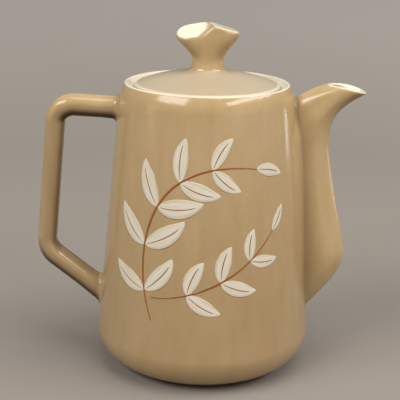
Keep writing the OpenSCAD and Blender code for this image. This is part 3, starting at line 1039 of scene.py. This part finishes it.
# %% Colours and nodes
def colour(text):
    """Linear colour from an sRGB hex text."""
    parts = [int(text[i : i + 2], 16) / 255 for i in (0, 2, 4)]
    return [p / 12.92 if p <= 0.04045 else ((p + 0.055) / 1.055) ** 2.4 for p in parts] + [1]


def add_node(tree, kind, settings=None, inputs=None):
    """Add a node with its settings. An input is a value, or the output that it is linked to."""
    node = tree.nodes.new(kind)
    for name, value in (settings or {}).items():
        setattr(node, name, value)
    for name, value in (inputs or {}).items():
        if isinstance(value, bpy.types.NodeSocket):
            tree.links.new(value, node.inputs[name])
        else:
            node.inputs[name].default_value = value
    return node


def new_material(name):
    """A material with an empty tree of nodes."""
    material = bpy.data.materials.new(name)
    material.use_nodes = True
    material.node_tree.nodes.clear()
    return material


# A Mix node has several inputs called A and B, so its colours are told apart by these numbers.
colour_a, colour_b, mixed_colour = 6, 7, 2
print("half grey on a screen is", round(colour("808080")[0], 3), "in linear light")

# %% [markdown]
# ## The tone of the glaze
# A coffee pot of this kind is earthenware under a lead-free gloss glaze. Dipping never gives one
# even tone: the glaze clouds over a few centimetres, runs a little downwards, and is mottled over
# two millimetres. Three noises of those sizes are added up, and the sum picks a tone between
# thick and thin.

# %% Tone of the glaze
cloud_mm, run_mm, run_stretch, mottle_mm, peel_mm = 32, 7, 5, 2.2, 9
mottle_share, thick_below, thin_above = 0.45, 0.7, 1.75


def glaze_clouds_and_runs(tree, place):
    """Two noises that tone and skin share, so that a run is both seen and felt."""
    clouds = add_node(
        tree, "ShaderNodeTexNoise", None,
        {"Vector": place, "Scale": 1 / (cloud_mm * MM), "Detail": 3},
    )
    drawn_down = add_node(
        tree, "ShaderNodeMapping", None, {"Vector": place, "Scale": (1, 1, 1 / run_stretch)}
    )
    runs = add_node(
        tree, "ShaderNodeTexNoise", None,
        {"Vector": drawn_down.outputs[0], "Scale": 1 / (run_mm * MM), "Detail": 2},
    )
    return clouds.outputs["Fac"], runs.outputs["Fac"]


def glaze_tone(tree, place, clouds, runs, thick, thin):
    """A colour between the tone of a thick coat and the tone of a thin one."""
    mottle = add_node(
        tree, "ShaderNodeTexNoise", None,
        {"Vector": place, "Scale": 1 / (mottle_mm * MM), "Detail": 2},
    )
    both = add_node(tree, "ShaderNodeMath", {"operation": "ADD"}, {0: clouds, 1: runs})
    uneven = add_node(
        tree, "ShaderNodeMath", {"operation": "MULTIPLY_ADD"},
        {0: mottle.outputs["Fac"], 1: mottle_share, 2: both.outputs[0]},
    )
    thinness = add_node(
        tree, "ShaderNodeMapRange", None,
        {"Value": uneven.outputs[0], "From Min": thick_below, "From Max": thin_above},
    )
    tan = add_node(
        tree, "ShaderNodeMix", {"data_type": "RGBA"},
        {"Factor": thinness.outputs[0], colour_a: colour(thick), colour_b: colour(thin)},
    )
    return tan.outputs[mixed_colour]


print("noises of", cloud_mm, run_mm, "and", mottle_mm, "mm set the tone")

# %% [markdown]
# ## The skin of the glaze
# Glaze is glass, so its roughness is low and its refraction is that of glass. Where it has gone
# satin it is rougher, and bare clay is matt. Its skin waves like orange peel, by less than a
# tenth of a millimetre. That is far too little for the mesh, but it makes reflections tremble.

# %% Skin of the glaze
gloss_least, gloss_most, satin_haze = 0.1, 0.2, 0.22
wave_mm, glass_ior = 0.09, 1.5


def glaze_roughness(tree, clouds, masks):
    """Low on gloss glaze, higher where it is satin, full on bare clay."""
    gloss = add_node(
        tree, "ShaderNodeMapRange", None,
        {"Value": clouds, "To Min": gloss_least, "To Max": gloss_most},
    )
    hazed = add_node(
        tree, "ShaderNodeMath", {"operation": "MULTIPLY_ADD"},
        {0: masks["satin_and_sheen"], 1: satin_haze, 2: gloss.outputs[0]},
    )
    rough = add_node(
        tree, "ShaderNodeMath", {"operation": "MAXIMUM"}, {0: hazed.outputs[0], 1: masks["bare"]}
    )
    return rough.outputs[0]


def glaze_waves(tree, place, runs):
    """A skin that waves in bumps and in runs."""
    peel = add_node(
        tree, "ShaderNodeTexNoise", None,
        {"Vector": place, "Scale": 1 / (peel_mm * MM), "Detail": 1},
    )
    height = add_node(
        tree, "ShaderNodeMath", {"operation": "ADD"}, {0: peel.outputs["Fac"], 1: runs}
    )
    waves = add_node(
        tree, "ShaderNodeBump", None,
        {"Height": height.outputs[0], "Strength": 1, "Distance": wave_mm * MM},
    )
    return waves.outputs["Normal"]


print("roughness from", gloss_least, "to", gloss_most, "and waves of", wave_mm, "mm")

# %% [markdown]
# ## Gloss glaze on slip-cast earthenware
# All five pieces went into the same tub, so they share one material. It starts from the tan and
# lays the other coats over it by mask: a paler satin tan on the lid, partly a painted sheen;
# nearly black brown that is pooled glaze in the seams and painted shade there, low on the wall
# and under overhangs; ivory; and at last the bare clay. To the eye it is a warm tan glass with
# darker seams and pale broken edges.

# %% The glaze that all pieces share
ivory_glaze = colour("E9E0C6")
bare_clay = colour("C9B08C")


def glazed(name, thick, thin, pool_and_shade, satin_and_sheen):
    """Gloss glaze between two tones, with other coats by mask."""
    material = new_material(name)
    tree = material.node_tree
    place = add_node(tree, "ShaderNodeTexCoord").outputs["Object"]
    clouds, runs = glaze_clouds_and_runs(tree, place)
    tone = glaze_tone(tree, place, clouds, runs, thick, thin)
    masks = {}
    coats = {
        "satin_and_sheen": colour(satin_and_sheen), "pool_and_shade": colour(pool_and_shade), "ivory": ivory_glaze, "bare": bare_clay,
    }
    for mask, coat in coats.items():
        masks[mask] = add_node(
            tree, "ShaderNodeAttribute", {"attribute_name": mask}
        ).outputs["Fac"]
        coated = add_node(
            tree, "ShaderNodeMix", {"data_type": "RGBA"},
            {"Factor": masks[mask], colour_a: tone, colour_b: coat},
        )
        tone = coated.outputs[mixed_colour]
    shader = add_node(
        tree, "ShaderNodeBsdfPrincipled", None,
        {
            "Base Color": tone, "Roughness": glaze_roughness(tree, clouds, masks),
            "IOR": glass_ior, "Normal": glaze_waves(tree, place, runs),
        },
    )
    add_node(tree, "ShaderNodeOutputMaterial", None, {"Surface": shader.outputs[0]})
    return material


# The dark brown is pooled glaze and painted shade; the satin tan is partly a painted sheen.
dipped = glazed("tan gloss glaze, dipped", "B39568", "C1A57A", "3E2A17", "B4A386")
for piece in (body, spout, handle, lid_disc, knob):
    piece.data.materials.clear()
    piece.data.materials.append(dipped)
print(dipped.name, "with", len(dipped.node_tree.nodes), "nodes, on", dipped.users, "pieces")

# %% [markdown]
# ## The painted sprig
# The front carries a sprig in white slip with rust-brown stain, brushed on before the clear
# glaze. A brush stroke is a path with a width that swells and fades, so each one starts as a line
# of points in the flat, as if the wall were unrolled: first the distance round the pot, then the
# height.

# %% Strokes of a brush
way = np.linspace(0, 1, 33)
leaf_belly_shift, leaf_fullness, leaf_tip = 0.85, 0.75, 0.02
line_blunt_end, line_evenness = 0.02, 0.35
brushed = np.sin(math.pi * way**leaf_belly_shift) ** leaf_fullness + leaf_tip
drawn = np.sin(math.pi * np.clip(way, line_blunt_end, 1 - line_blunt_end)) ** line_evenness


def stroke(path, share):
    """Points along a Bezier path, given by its four control points."""
    return bezier(np.broadcast_to(np.array(path, float), (len(share), 4, 2)), share)


print("a leaf's stroke is widest at", way[brushed.argmax()], "of its length")

# %% [markdown]
# ## The layout of the sprig
# Two stems rise from the foot of the pot and part, one in a wide arch and one low. Leaves stand
# on them in pairs, and they get smaller towards the tips, as on a real twig. A thin vein runs
# along each leaf.

# %% Lay out the sprig in the flat
main_stem = [(-30, 46), (-50, 96), (-30, 150), (33, 138)]
side_stem = [(-31, 60), (-8, 62), (20, 72), (44, 100)]
leaf_pulls, pair_bow, look_ahead = (0.33, 0.7), 0.1, 0.01
vein_start, vein_stop, vein_half_w = 0.2, 0.4, 0.42

main_half_w, side_half_w = 0.8, 0.65

slip_strokes = []
stain_strokes = [
    (stroke(main_stem, way), main_half_w * drawn), (stroke(side_stem, way), side_half_w * drawn),
]


def leaf_path(foot, heading, length, bow):
    """Four control points of a leaf that leaves its foot in a heading and bows to one side."""
    along, aside = turn(heading), turn(heading + 90)
    pulled = [foot + length * (pull * along + bow * aside) for pull in leaf_pulls]
    return [foot, *pulled, foot + length * along]


def add_leaf(foot, heading, length, width, bow):
    """A leaf of slip with a vein of stain."""
    path = leaf_path(foot, heading, length, bow)
    slip_strokes.append((stroke(path, way), width / 2 * brushed))
    vein = [mix(path[0], path[1], vein_start), *path[1:3], mix(path[2], path[3], vein_stop)]
    stain_strokes.append((stroke(vein, way), vein_half_w * drawn))


def add_pair(stem, t, spread, length, width):
    """A leaf on each side of a stem, at a share of the way along it."""
    foot, ahead = stroke(stem, np.array([t, t + look_ahead]))
    heading = math.degrees(math.atan2(*(ahead - foot)[::-1]))
    add_leaf(foot, heading + spread, length, width, pair_bow)
    add_leaf(foot, heading - spread, length, width, -pair_bow)


for t, spread, length, width in (
    (0.12, 50, 27, 11), (0.31, 50, 30, 12), (0.5, 52, 29, 12), (0.67, 50, 26, 10.5),
    (0.83, 46, 22, 9),
):
    add_pair(main_stem, t, spread, length, width)
for t, spread, length, width in ((0.3, 48, 22, 9.5), (0.55, 46, 22, 9.5), (0.78, 42, 19, 8)):
    add_pair(side_stem, t, spread, length, width)
add_leaf(np.array(main_stem[3]), heading=-14, length=21, width=8, bow=0.06)
add_leaf(np.array(side_stem[3]), heading=58, length=17, width=6.5, bow=-0.06)
print("strokes of slip and of stain:", len(slip_strokes), len(stain_strokes))

# %% [markdown]
# ## A bead along each stroke
# Geometry Nodes do for every stroke what the brush does. First they sweep a low rounded bead
# along the path, as wide as the path says. They also note how far along and how far across its
# stroke each point lies, and a tone for each stroke, so that the material can streak the way the
# brush went.

# %% Sweep the beads
def swept_beads(tree, given):
    """A bead along each stroke, still in the flat, with its notes."""
    paths = add_node(tree, "GeometryNodeMeshToCurve", None, {"Mesh": given["Strokes"]})
    upright = add_node(
        tree, "GeometryNodeSetCurveNormal", {"mode": "Z_UP"}, {"Curve": paths.outputs[0]}
    )
    stroke_number = add_node(tree, "GeometryNodeInputIndex")
    tone = add_node(
        tree, "FunctionNodeRandomValue", {"data_type": "FLOAT"},
        {"ID": stroke_number.outputs[0], "Seed": given["Seed"]},
    )
    along = add_node(tree, "GeometryNodeSplineParameter")
    strokes = upright.outputs[0]
    for note, value, domain in (
        ("tone", tone.outputs[1], "CURVE"), ("along", along.outputs["Length"], "POINT")
    ):
        strokes = add_node(
            tree, "GeometryNodeStoreNamedAttribute", {"domain": domain},
            {"Geometry": strokes, "Name": note, "Value": value},
        ).outputs[0]
    ring = add_node(
        tree, "GeometryNodeCurvePrimitiveCircle", {"mode": "RADIUS"},
        {"Resolution": given["Sides of the bead"], "Radius": 1},
    )
    place = add_node(tree, "GeometryNodeInputPosition")
    on_ring = add_node(tree, "ShaderNodeSeparateXYZ", None, {0: place.outputs[0]})
    section = ring.outputs[0]
    for note, value in (("across", on_ring.outputs["X"]), ("rise", on_ring.outputs["Y"])):
        section = add_node(
            tree, "GeometryNodeStoreNamedAttribute", {"domain": "POINT"},
            {"Geometry": section, "Name": note, "Value": value},
        ).outputs[0]
    width = add_node(tree, "GeometryNodeInputNamedAttribute", None, {"Name": "half_width"})
    bead = add_node(
        tree, "GeometryNodeCurveToMesh", None,
        {
            "Curve": strokes, "Profile Curve": section,
            "Scale": width.outputs[0], "Fill Caps": True,
        },
    )
    outward = add_node(tree, "GeometryNodeFlipFaces", None, {"Mesh": bead.outputs[0]})
    return outward.outputs[0]


print("points along each stroke:", len(way))

# %% [markdown]
# ## Laying the beads on the wall
# The distance round the pot becomes an angle, and the height stays as it is. The wall leans, so
# its radius falls with the height, and the paint adds a little to it. An angle and a radius then
# give the place of each point on the front of the pot.

# %% Lay the beads on the wall
def laid_on_wall(tree, given, beads):
    """The beads moved from the flat onto the leaning wall."""
    place = add_node(tree, "GeometryNodeInputPosition")
    flat = add_node(tree, "ShaderNodeSeparateXYZ", None, {0: place.outputs[0]})
    angle = add_node(
        tree, "ShaderNodeMath", {"operation": "DIVIDE"},
        {0: flat.outputs["X"], 1: given["Unrolling radius"]},
    )
    leant = add_node(
        tree, "ShaderNodeMath", {"operation": "MULTIPLY"},
        {0: flat.outputs["Y"], 1: given["Wall lean"]},
    )
    wall_here = add_node(
        tree, "ShaderNodeMath", {"operation": "SUBTRACT"},
        {0: given["Wall radius at the table"], 1: leant.outputs[0]},
    )
    lift = add_node(tree, "GeometryNodeInputNamedAttribute", None, {"Name": "rise"})
    radius = add_node(
        tree, "ShaderNodeMath", {"operation": "MULTIPLY_ADD"},
        {0: lift.outputs[0], 1: given["Paint height"], 2: wall_here.outputs[0]},
    )
    aside = add_node(tree, "ShaderNodeMath", {"operation": "SINE"}, {0: angle.outputs[0]})
    ahead = add_node(tree, "ShaderNodeMath", {"operation": "COSINE"}, {0: angle.outputs[0]})
    x = add_node(
        tree, "ShaderNodeMath", {"operation": "MULTIPLY"},
        {0: radius.outputs[0], 1: aside.outputs[0]},
    )
    back = add_node(
        tree, "ShaderNodeMath", {"operation": "MULTIPLY"},
        {0: radius.outputs[0], 1: ahead.outputs[0]},
    )
    y = add_node(tree, "ShaderNodeMath", {"operation": "MULTIPLY"}, {0: back.outputs[0], 1: -1})
    on_wall = add_node(
        tree, "ShaderNodeCombineXYZ", None,
        {"X": x.outputs[0], "Y": y.outputs[0], "Z": flat.outputs["Y"]},
    )
    laid = add_node(
        tree, "GeometryNodeSetPosition", None,
        {"Geometry": beads, "Position": on_wall.outputs[0]},
    )
    return laid.outputs[0]


turn_per_mm = math.degrees(1 / wall_r(100))
print("one millimetre round the wall at 100 mm up is", round(turn_per_mm, 3), "degrees")

# %% [markdown]
# ## The brush
# One tree serves for slip and for stain, with the wall's sizes and the height of the paint as its
# inputs. It ends with real geometry and its material, so that nothing depends on the tree
# afterwards.

# %% The brush as a tree of nodes
def brush_tree():
    """The whole brush, with named inputs for its sizes."""
    tree = bpy.data.node_groups.new("brush strokes on the wall", "GeometryNodeTree")
    sizes = {
        "Strokes": "NodeSocketGeometry", "Wall radius at the table": "NodeSocketFloat",
        "Wall lean": "NodeSocketFloat", "Unrolling radius": "NodeSocketFloat",
        "Paint height": "NodeSocketFloat", "Sides of the bead": "NodeSocketInt",
        "Seed": "NodeSocketInt", "Paint": "NodeSocketMaterial",
    }
    for name, kind in sizes.items():
        tree.interface.new_socket(name, in_out="INPUT", socket_type=kind)
    tree.interface.new_socket("Painted", in_out="OUTPUT", socket_type="NodeSocketGeometry")
    given = add_node(tree, "NodeGroupInput").outputs
    laid = laid_on_wall(tree, given, swept_beads(tree, given))
    real = add_node(tree, "GeometryNodeRealizeInstances", None, {0: laid})
    painted = add_node(
        tree, "GeometryNodeSetMaterial", None,
        {"Geometry": real.outputs[0], "Material": given["Paint"]},
    )
    add_node(tree, "NodeGroupOutput", None, {0: painted.outputs[0]})
    return tree


brush = brush_tree()
print("nodes in the brush:", len(brush.nodes))

# %% [markdown]
# ## Slip and stain
# White slip is thin liquid clay, so it covers best where the brush was full, and the tan shows
# through in streaks and along the edges. The rust-brown stain is iron oxide: strong, a little
# uneven, and paler at its edges. Both lie under the same clear glaze, so they shine like the
# rest. The marks of the bristles are about a millimetre apart across a leaf, and they are drawn
# out ten times along it.

# %% Bristle marks
bristle_length_mm, bristles_across, stroke_offset = 12, 4, 40
streaks_from, streaks_to, edges_from = 0.4, 0.8, 0.55
gloss_cloud_mm = 32


def wear_of_strokes(tree, streaks, edge):
    """How far the paint is worn: in streaks along each stroke, and towards its edges."""
    notes = {
        note: add_node(tree, "ShaderNodeAttribute", {"attribute_name": note}).outputs["Fac"]
        for note in ("along", "across", "tone")
    }
    lengthwise = add_node(
        tree, "ShaderNodeMath", {"operation": "MULTIPLY"},
        {0: notes["along"], 1: 1 / (bristle_length_mm * MM)},
    )
    sideways = add_node(
        tree, "ShaderNodeMath", {"operation": "MULTIPLY"}, {0: notes["across"], 1: bristles_across}
    )
    apart = add_node(
        tree, "ShaderNodeMath", {"operation": "MULTIPLY"}, {0: notes["tone"], 1: stroke_offset}
    )
    brush_place = add_node(
        tree, "ShaderNodeCombineXYZ", None,
        {"X": lengthwise.outputs[0], "Y": sideways.outputs[0], "Z": apart.outputs[0]},
    )
    bristles = add_node(
        tree, "ShaderNodeTexNoise", None,
        {"Vector": brush_place.outputs[0], "Scale": 1, "Detail": 3},
    )
    streaky = add_node(
        tree, "ShaderNodeMapRange", None,
        {
            "Value": bristles.outputs["Fac"],
            "From Min": streaks_from, "From Max": streaks_to, "To Max": streaks,
        },
    )
    outward = add_node(tree, "ShaderNodeMath", {"operation": "ABSOLUTE"}, {0: notes["across"]})
    edges = add_node(
        tree, "ShaderNodeMapRange", None,
        {"Value": outward.outputs[0], "From Min": edges_from, "From Max": 1, "To Max": edge},
    )
    worn = add_node(
        tree, "ShaderNodeMath", {"operation": "ADD", "use_clamp": True},
        {0: streaky.outputs[0], 1: edges.outputs[0]},
    )
    return worn.outputs[0]


print("a bristle mark is about", bristle_length_mm, "mm long, and", bristles_across, "fit across")

# %% [markdown]
# ## Two paints from one recipe
# Both paints are the same material with other tones: a full tone in the middle of a stroke, and a
# worn one that comes close to the tan below. The clear glaze on top has the same gloss as on the
# pot, and it clouds over the same few centimetres.

# %% Brushed slip and iron stain
def brushed_on(name, full, worn, streaks, edge):
    """Paint that is full in the middle of a stroke and worn in streaks and at its edges."""
    material = new_material(name)
    tree = material.node_tree
    painted = add_node(
        tree, "ShaderNodeMix", {"data_type": "RGBA"},
        {
            "Factor": wear_of_strokes(tree, streaks, edge),
            colour_a: colour(full), colour_b: colour(worn),
        },
    )
    place = add_node(tree, "ShaderNodeTexCoord").outputs["Object"]
    clouds = add_node(
        tree, "ShaderNodeTexNoise", None,
        {"Vector": place, "Scale": 1 / (gloss_cloud_mm * MM), "Detail": 3},
    )
    gloss = add_node(
        tree, "ShaderNodeMapRange", None,
        {"Value": clouds.outputs["Fac"], "To Min": gloss_least, "To Max": gloss_most},
    )
    shader = add_node(
        tree, "ShaderNodeBsdfPrincipled", None,
        {
            "Base Color": painted.outputs[mixed_colour], "Roughness": gloss.outputs[0],
            "IOR": glass_ior,
        },
    )
    add_node(tree, "ShaderNodeOutputMaterial", None, {"Surface": shader.outputs[0]})
    return material


white_slip = brushed_on("white slip, brushed under gloss glaze", "DED6C4", "C5B08B", 0.5, 0.7)
iron_stain = brushed_on("iron stain, brushed under gloss glaze", "8A4A1C", "A8733C", 0.8, 0.5)
print("paints:", white_slip.name, "and", iron_stain.name)

# %% [markdown]
# ## Painting the sprig
# The strokes become one mesh of bare edges, with half a width noted at each point, and the brush
# turns them into beads on the wall. The result is kept as a plain mesh and the modifier is taken
# off. The stain stands a tenth of a millimetre higher than the slip, because it was brushed on
# last.

# %% Paint the sprig
slip_height, stain_height = 0.16, 0.26
bead_sides, brush_seed, unrolled_at = 12, 7, 100


def paint(name, strokes, height, material):
    """Lay strokes on the wall with the brush, as one plain mesh."""
    paths = np.concatenate([path for path, _ in strokes])
    edges = [(i, i + 1) for i in range(len(paths) - 1) if (i + 1) % len(way)]
    mesh = bpy.data.meshes.new(name)
    mesh.from_pydata([(*point, 0) for point in paths * MM], edges, [])
    thing = add_object(name, mesh)
    set_mask(thing, "half_width", np.concatenate([half for _, half in strokes]) * MM)
    laid = thing.modifiers.new("brush", "NODES")
    laid.node_group = brush
    values = {
        "Wall radius at the table": wall_r(0) * MM, "Wall lean": wall_slope,
        "Unrolling radius": wall_r(unrolled_at) * MM, "Paint height": height * MM,
        "Sides of the bead": bead_sides, "Seed": brush_seed, "Paint": material,
    }
    for socket in brush.interface.items_tree:
        if socket.name in values:
            laid[socket.identifier] = values[socket.name]
    with_modifiers_applied(thing)
    thing.data.shade_smooth()
    print(f"{name}: {len(thing.data.vertices)} points, {len(thing.data.polygons)} faces")
    return thing


slip = paint("painted_leaves", slip_strokes, slip_height, white_slip)
stain = paint("painted_stems", stain_strokes, stain_height, iron_stain)

# %% [markdown]
# ## Bodies and nodes
# Everything on the pot rides on the pot, and the lid with its knob rides on the lid, so that one
# script looks right with the lid on or lifted. Each piece stands in for the plain solids that it
# refines, and the paint has none, because it is a coating.

# %% Ride and replace
for piece, carrier, nodes, slot in (
    (body, "pot", ["body_shell"], "body_glaze"), (spout, "pot", ["spout"], "spout_glaze"),
    (handle, "pot", ["handle"], "handle_glaze"), (slip, "pot", [], "body_glaze"),
    (stain, "pot", [], "body_glaze"), (lid_disc, "lid", ["lid_plate", "lid_flange"], "lid_glaze"),
    (knob, "lid", ["knob"], "knob_glaze"),
):
    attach(piece, carrier)
    if nodes:
        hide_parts(*nodes)
    print(piece.name, "rides on", carrier)

# %% [markdown]
# ## The table top
# The pot stands on a wide painted table top without a wall behind it, so that it can be seen from
# any side. Matt paint shows the pot's shadow and no reflection. It is painted a little lighter far
# from the pot as painted light, which makes the distance look airy.

# %% Table top
table_r, table_sides = 6000, 96
far_light_from, far_light_to = 0.6, 3.5
patches_per_metre, matt_roughness = 3, 0.8


def table_top():
    """Matt paint in two close tones, with painted light that makes it lighter far from the pot."""
    material = new_material("table top, matt painted board")
    tree = material.node_tree
    place = add_node(tree, "ShaderNodeTexCoord").outputs["Object"]
    distance = add_node(tree, "ShaderNodeVectorMath", {"operation": "LENGTH"}, {0: place})
    far = add_node(
        tree, "ShaderNodeMapRange", None,
        {"Value": distance.outputs["Value"], "From Min": far_light_from, "From Max": far_light_to},
    )
    patches = add_node(
        tree, "ShaderNodeTexNoise", None,
        {"Vector": place, "Scale": patches_per_metre, "Detail": 2},
    )
    near_paint = add_node(
        tree, "ShaderNodeMix", {"data_type": "RGBA"},
        {"Factor": patches.outputs["Fac"], colour_a: colour("8A8178"), colour_b: colour("90887F")},
    )
    # Painted light: the paint turns much lighter far from the pot.
    paint_tone = add_node(
        tree, "ShaderNodeMix", {"data_type": "RGBA"},
        {
            "Factor": far.outputs[0],
            colour_a: near_paint.outputs[mixed_colour], colour_b: colour("D6CFC7"),
        },
    )
    shader = add_node(
        tree, "ShaderNodeBsdfPrincipled", None,
        {"Base Color": paint_tone.outputs[mixed_colour], "Roughness": matt_roughness},
    )
    add_node(tree, "ShaderNodeOutputMaterial", None, {"Surface": shader.outputs[0]})
    return material


table_edge = arc((0, 0), table_r, 0, 360, table_sides)[:-1]
table = make_piece("table", [(*point, 0) for point in table_edge], [list(range(table_sides))])
table.data.materials.append(table_top())

# %% [markdown]
# ## Lamps and sky
# Two broad lamps above the viewer's shoulders give the two bright patches on the pot's shoulder.
# A lamp overhead lights the lid and leaves the undersides dark, and a dim panel behind puts a
# sheen on the lid. Gloss shows where light comes from, so a low strip and two low panels draw
# soft upright lines on the wall and the spout. Azimuth 0 is the viewer's side, and 90 is the
# spout's. Distances are in metres.

# %% Lamps and sky
lamps_aim_z = 0.12
sky_strength = 0.25


def add_lamp(name, azimuth, elevation, away, width, height, level, spread=180):
    """A rectangular lamp that looks at the pot, as bright at any size as its level says."""
    lamp = bpy.data.lights.new(name, "AREA")
    lamp.shape = "RECTANGLE"
    lamp.size, lamp.size_y = width, height
    lamp.energy = level * math.pi * width * height
    lamp.spread = math.radians(spread)
    holder = add_object(name, lamp)
    flat = math.cos(math.radians(elevation))
    azimuth = math.radians(azimuth)
    direction = Vector(
        (math.sin(azimuth) * flat, -math.cos(azimuth) * flat, math.sin(math.radians(elevation)))
    )
    holder.location = Vector((0, 0, lamps_aim_z)) + away * direction
    holder.rotation_euler = direction.to_track_quat("Z", "Y").to_euler()
    holder.visible_camera = False
    print(name, "at azimuth", round(math.degrees(azimuth)), "and elevation", elevation)


add_lamp("key_lamp", -51, 39, away=3.4, width=2.3, height=1.3, level=7.8)
add_lamp("side_lamp", 67, 39, away=3.4, width=4.2, height=0.6, level=8.9)
add_lamp("overhead_lamp", 50, 74, away=3.2, width=2.6, height=2.6, level=3.0)
add_lamp("back_panel", 180, 30, away=4.0, width=7.0, height=1.8, level=0.35)
add_lamp("front_panel", 42, 6, away=3.0, width=2.2, height=0.8, level=0.8)
add_lamp("right_strip", 118, 1, away=0.9, width=0.09, height=0.26, level=0.4, spread=60)
add_lamp("left_panel", -74, 3, away=2.8, width=0.6, height=1.0, level=0.95)

world = bpy.data.worlds.new("pale sky")
world.use_nodes = True
world.node_tree.nodes.clear()
sky = add_node(
    world.node_tree, "ShaderNodeBackground", None,
    {"Color": colour("DAD6D0"), "Strength": sky_strength},
)
add_node(world.node_tree, "ShaderNodeOutputWorld", None, {"Surface": sky.outputs[0]})
bpy.context.scene.world = world
bpy.context.scene.view_settings.view_transform = "Standard"
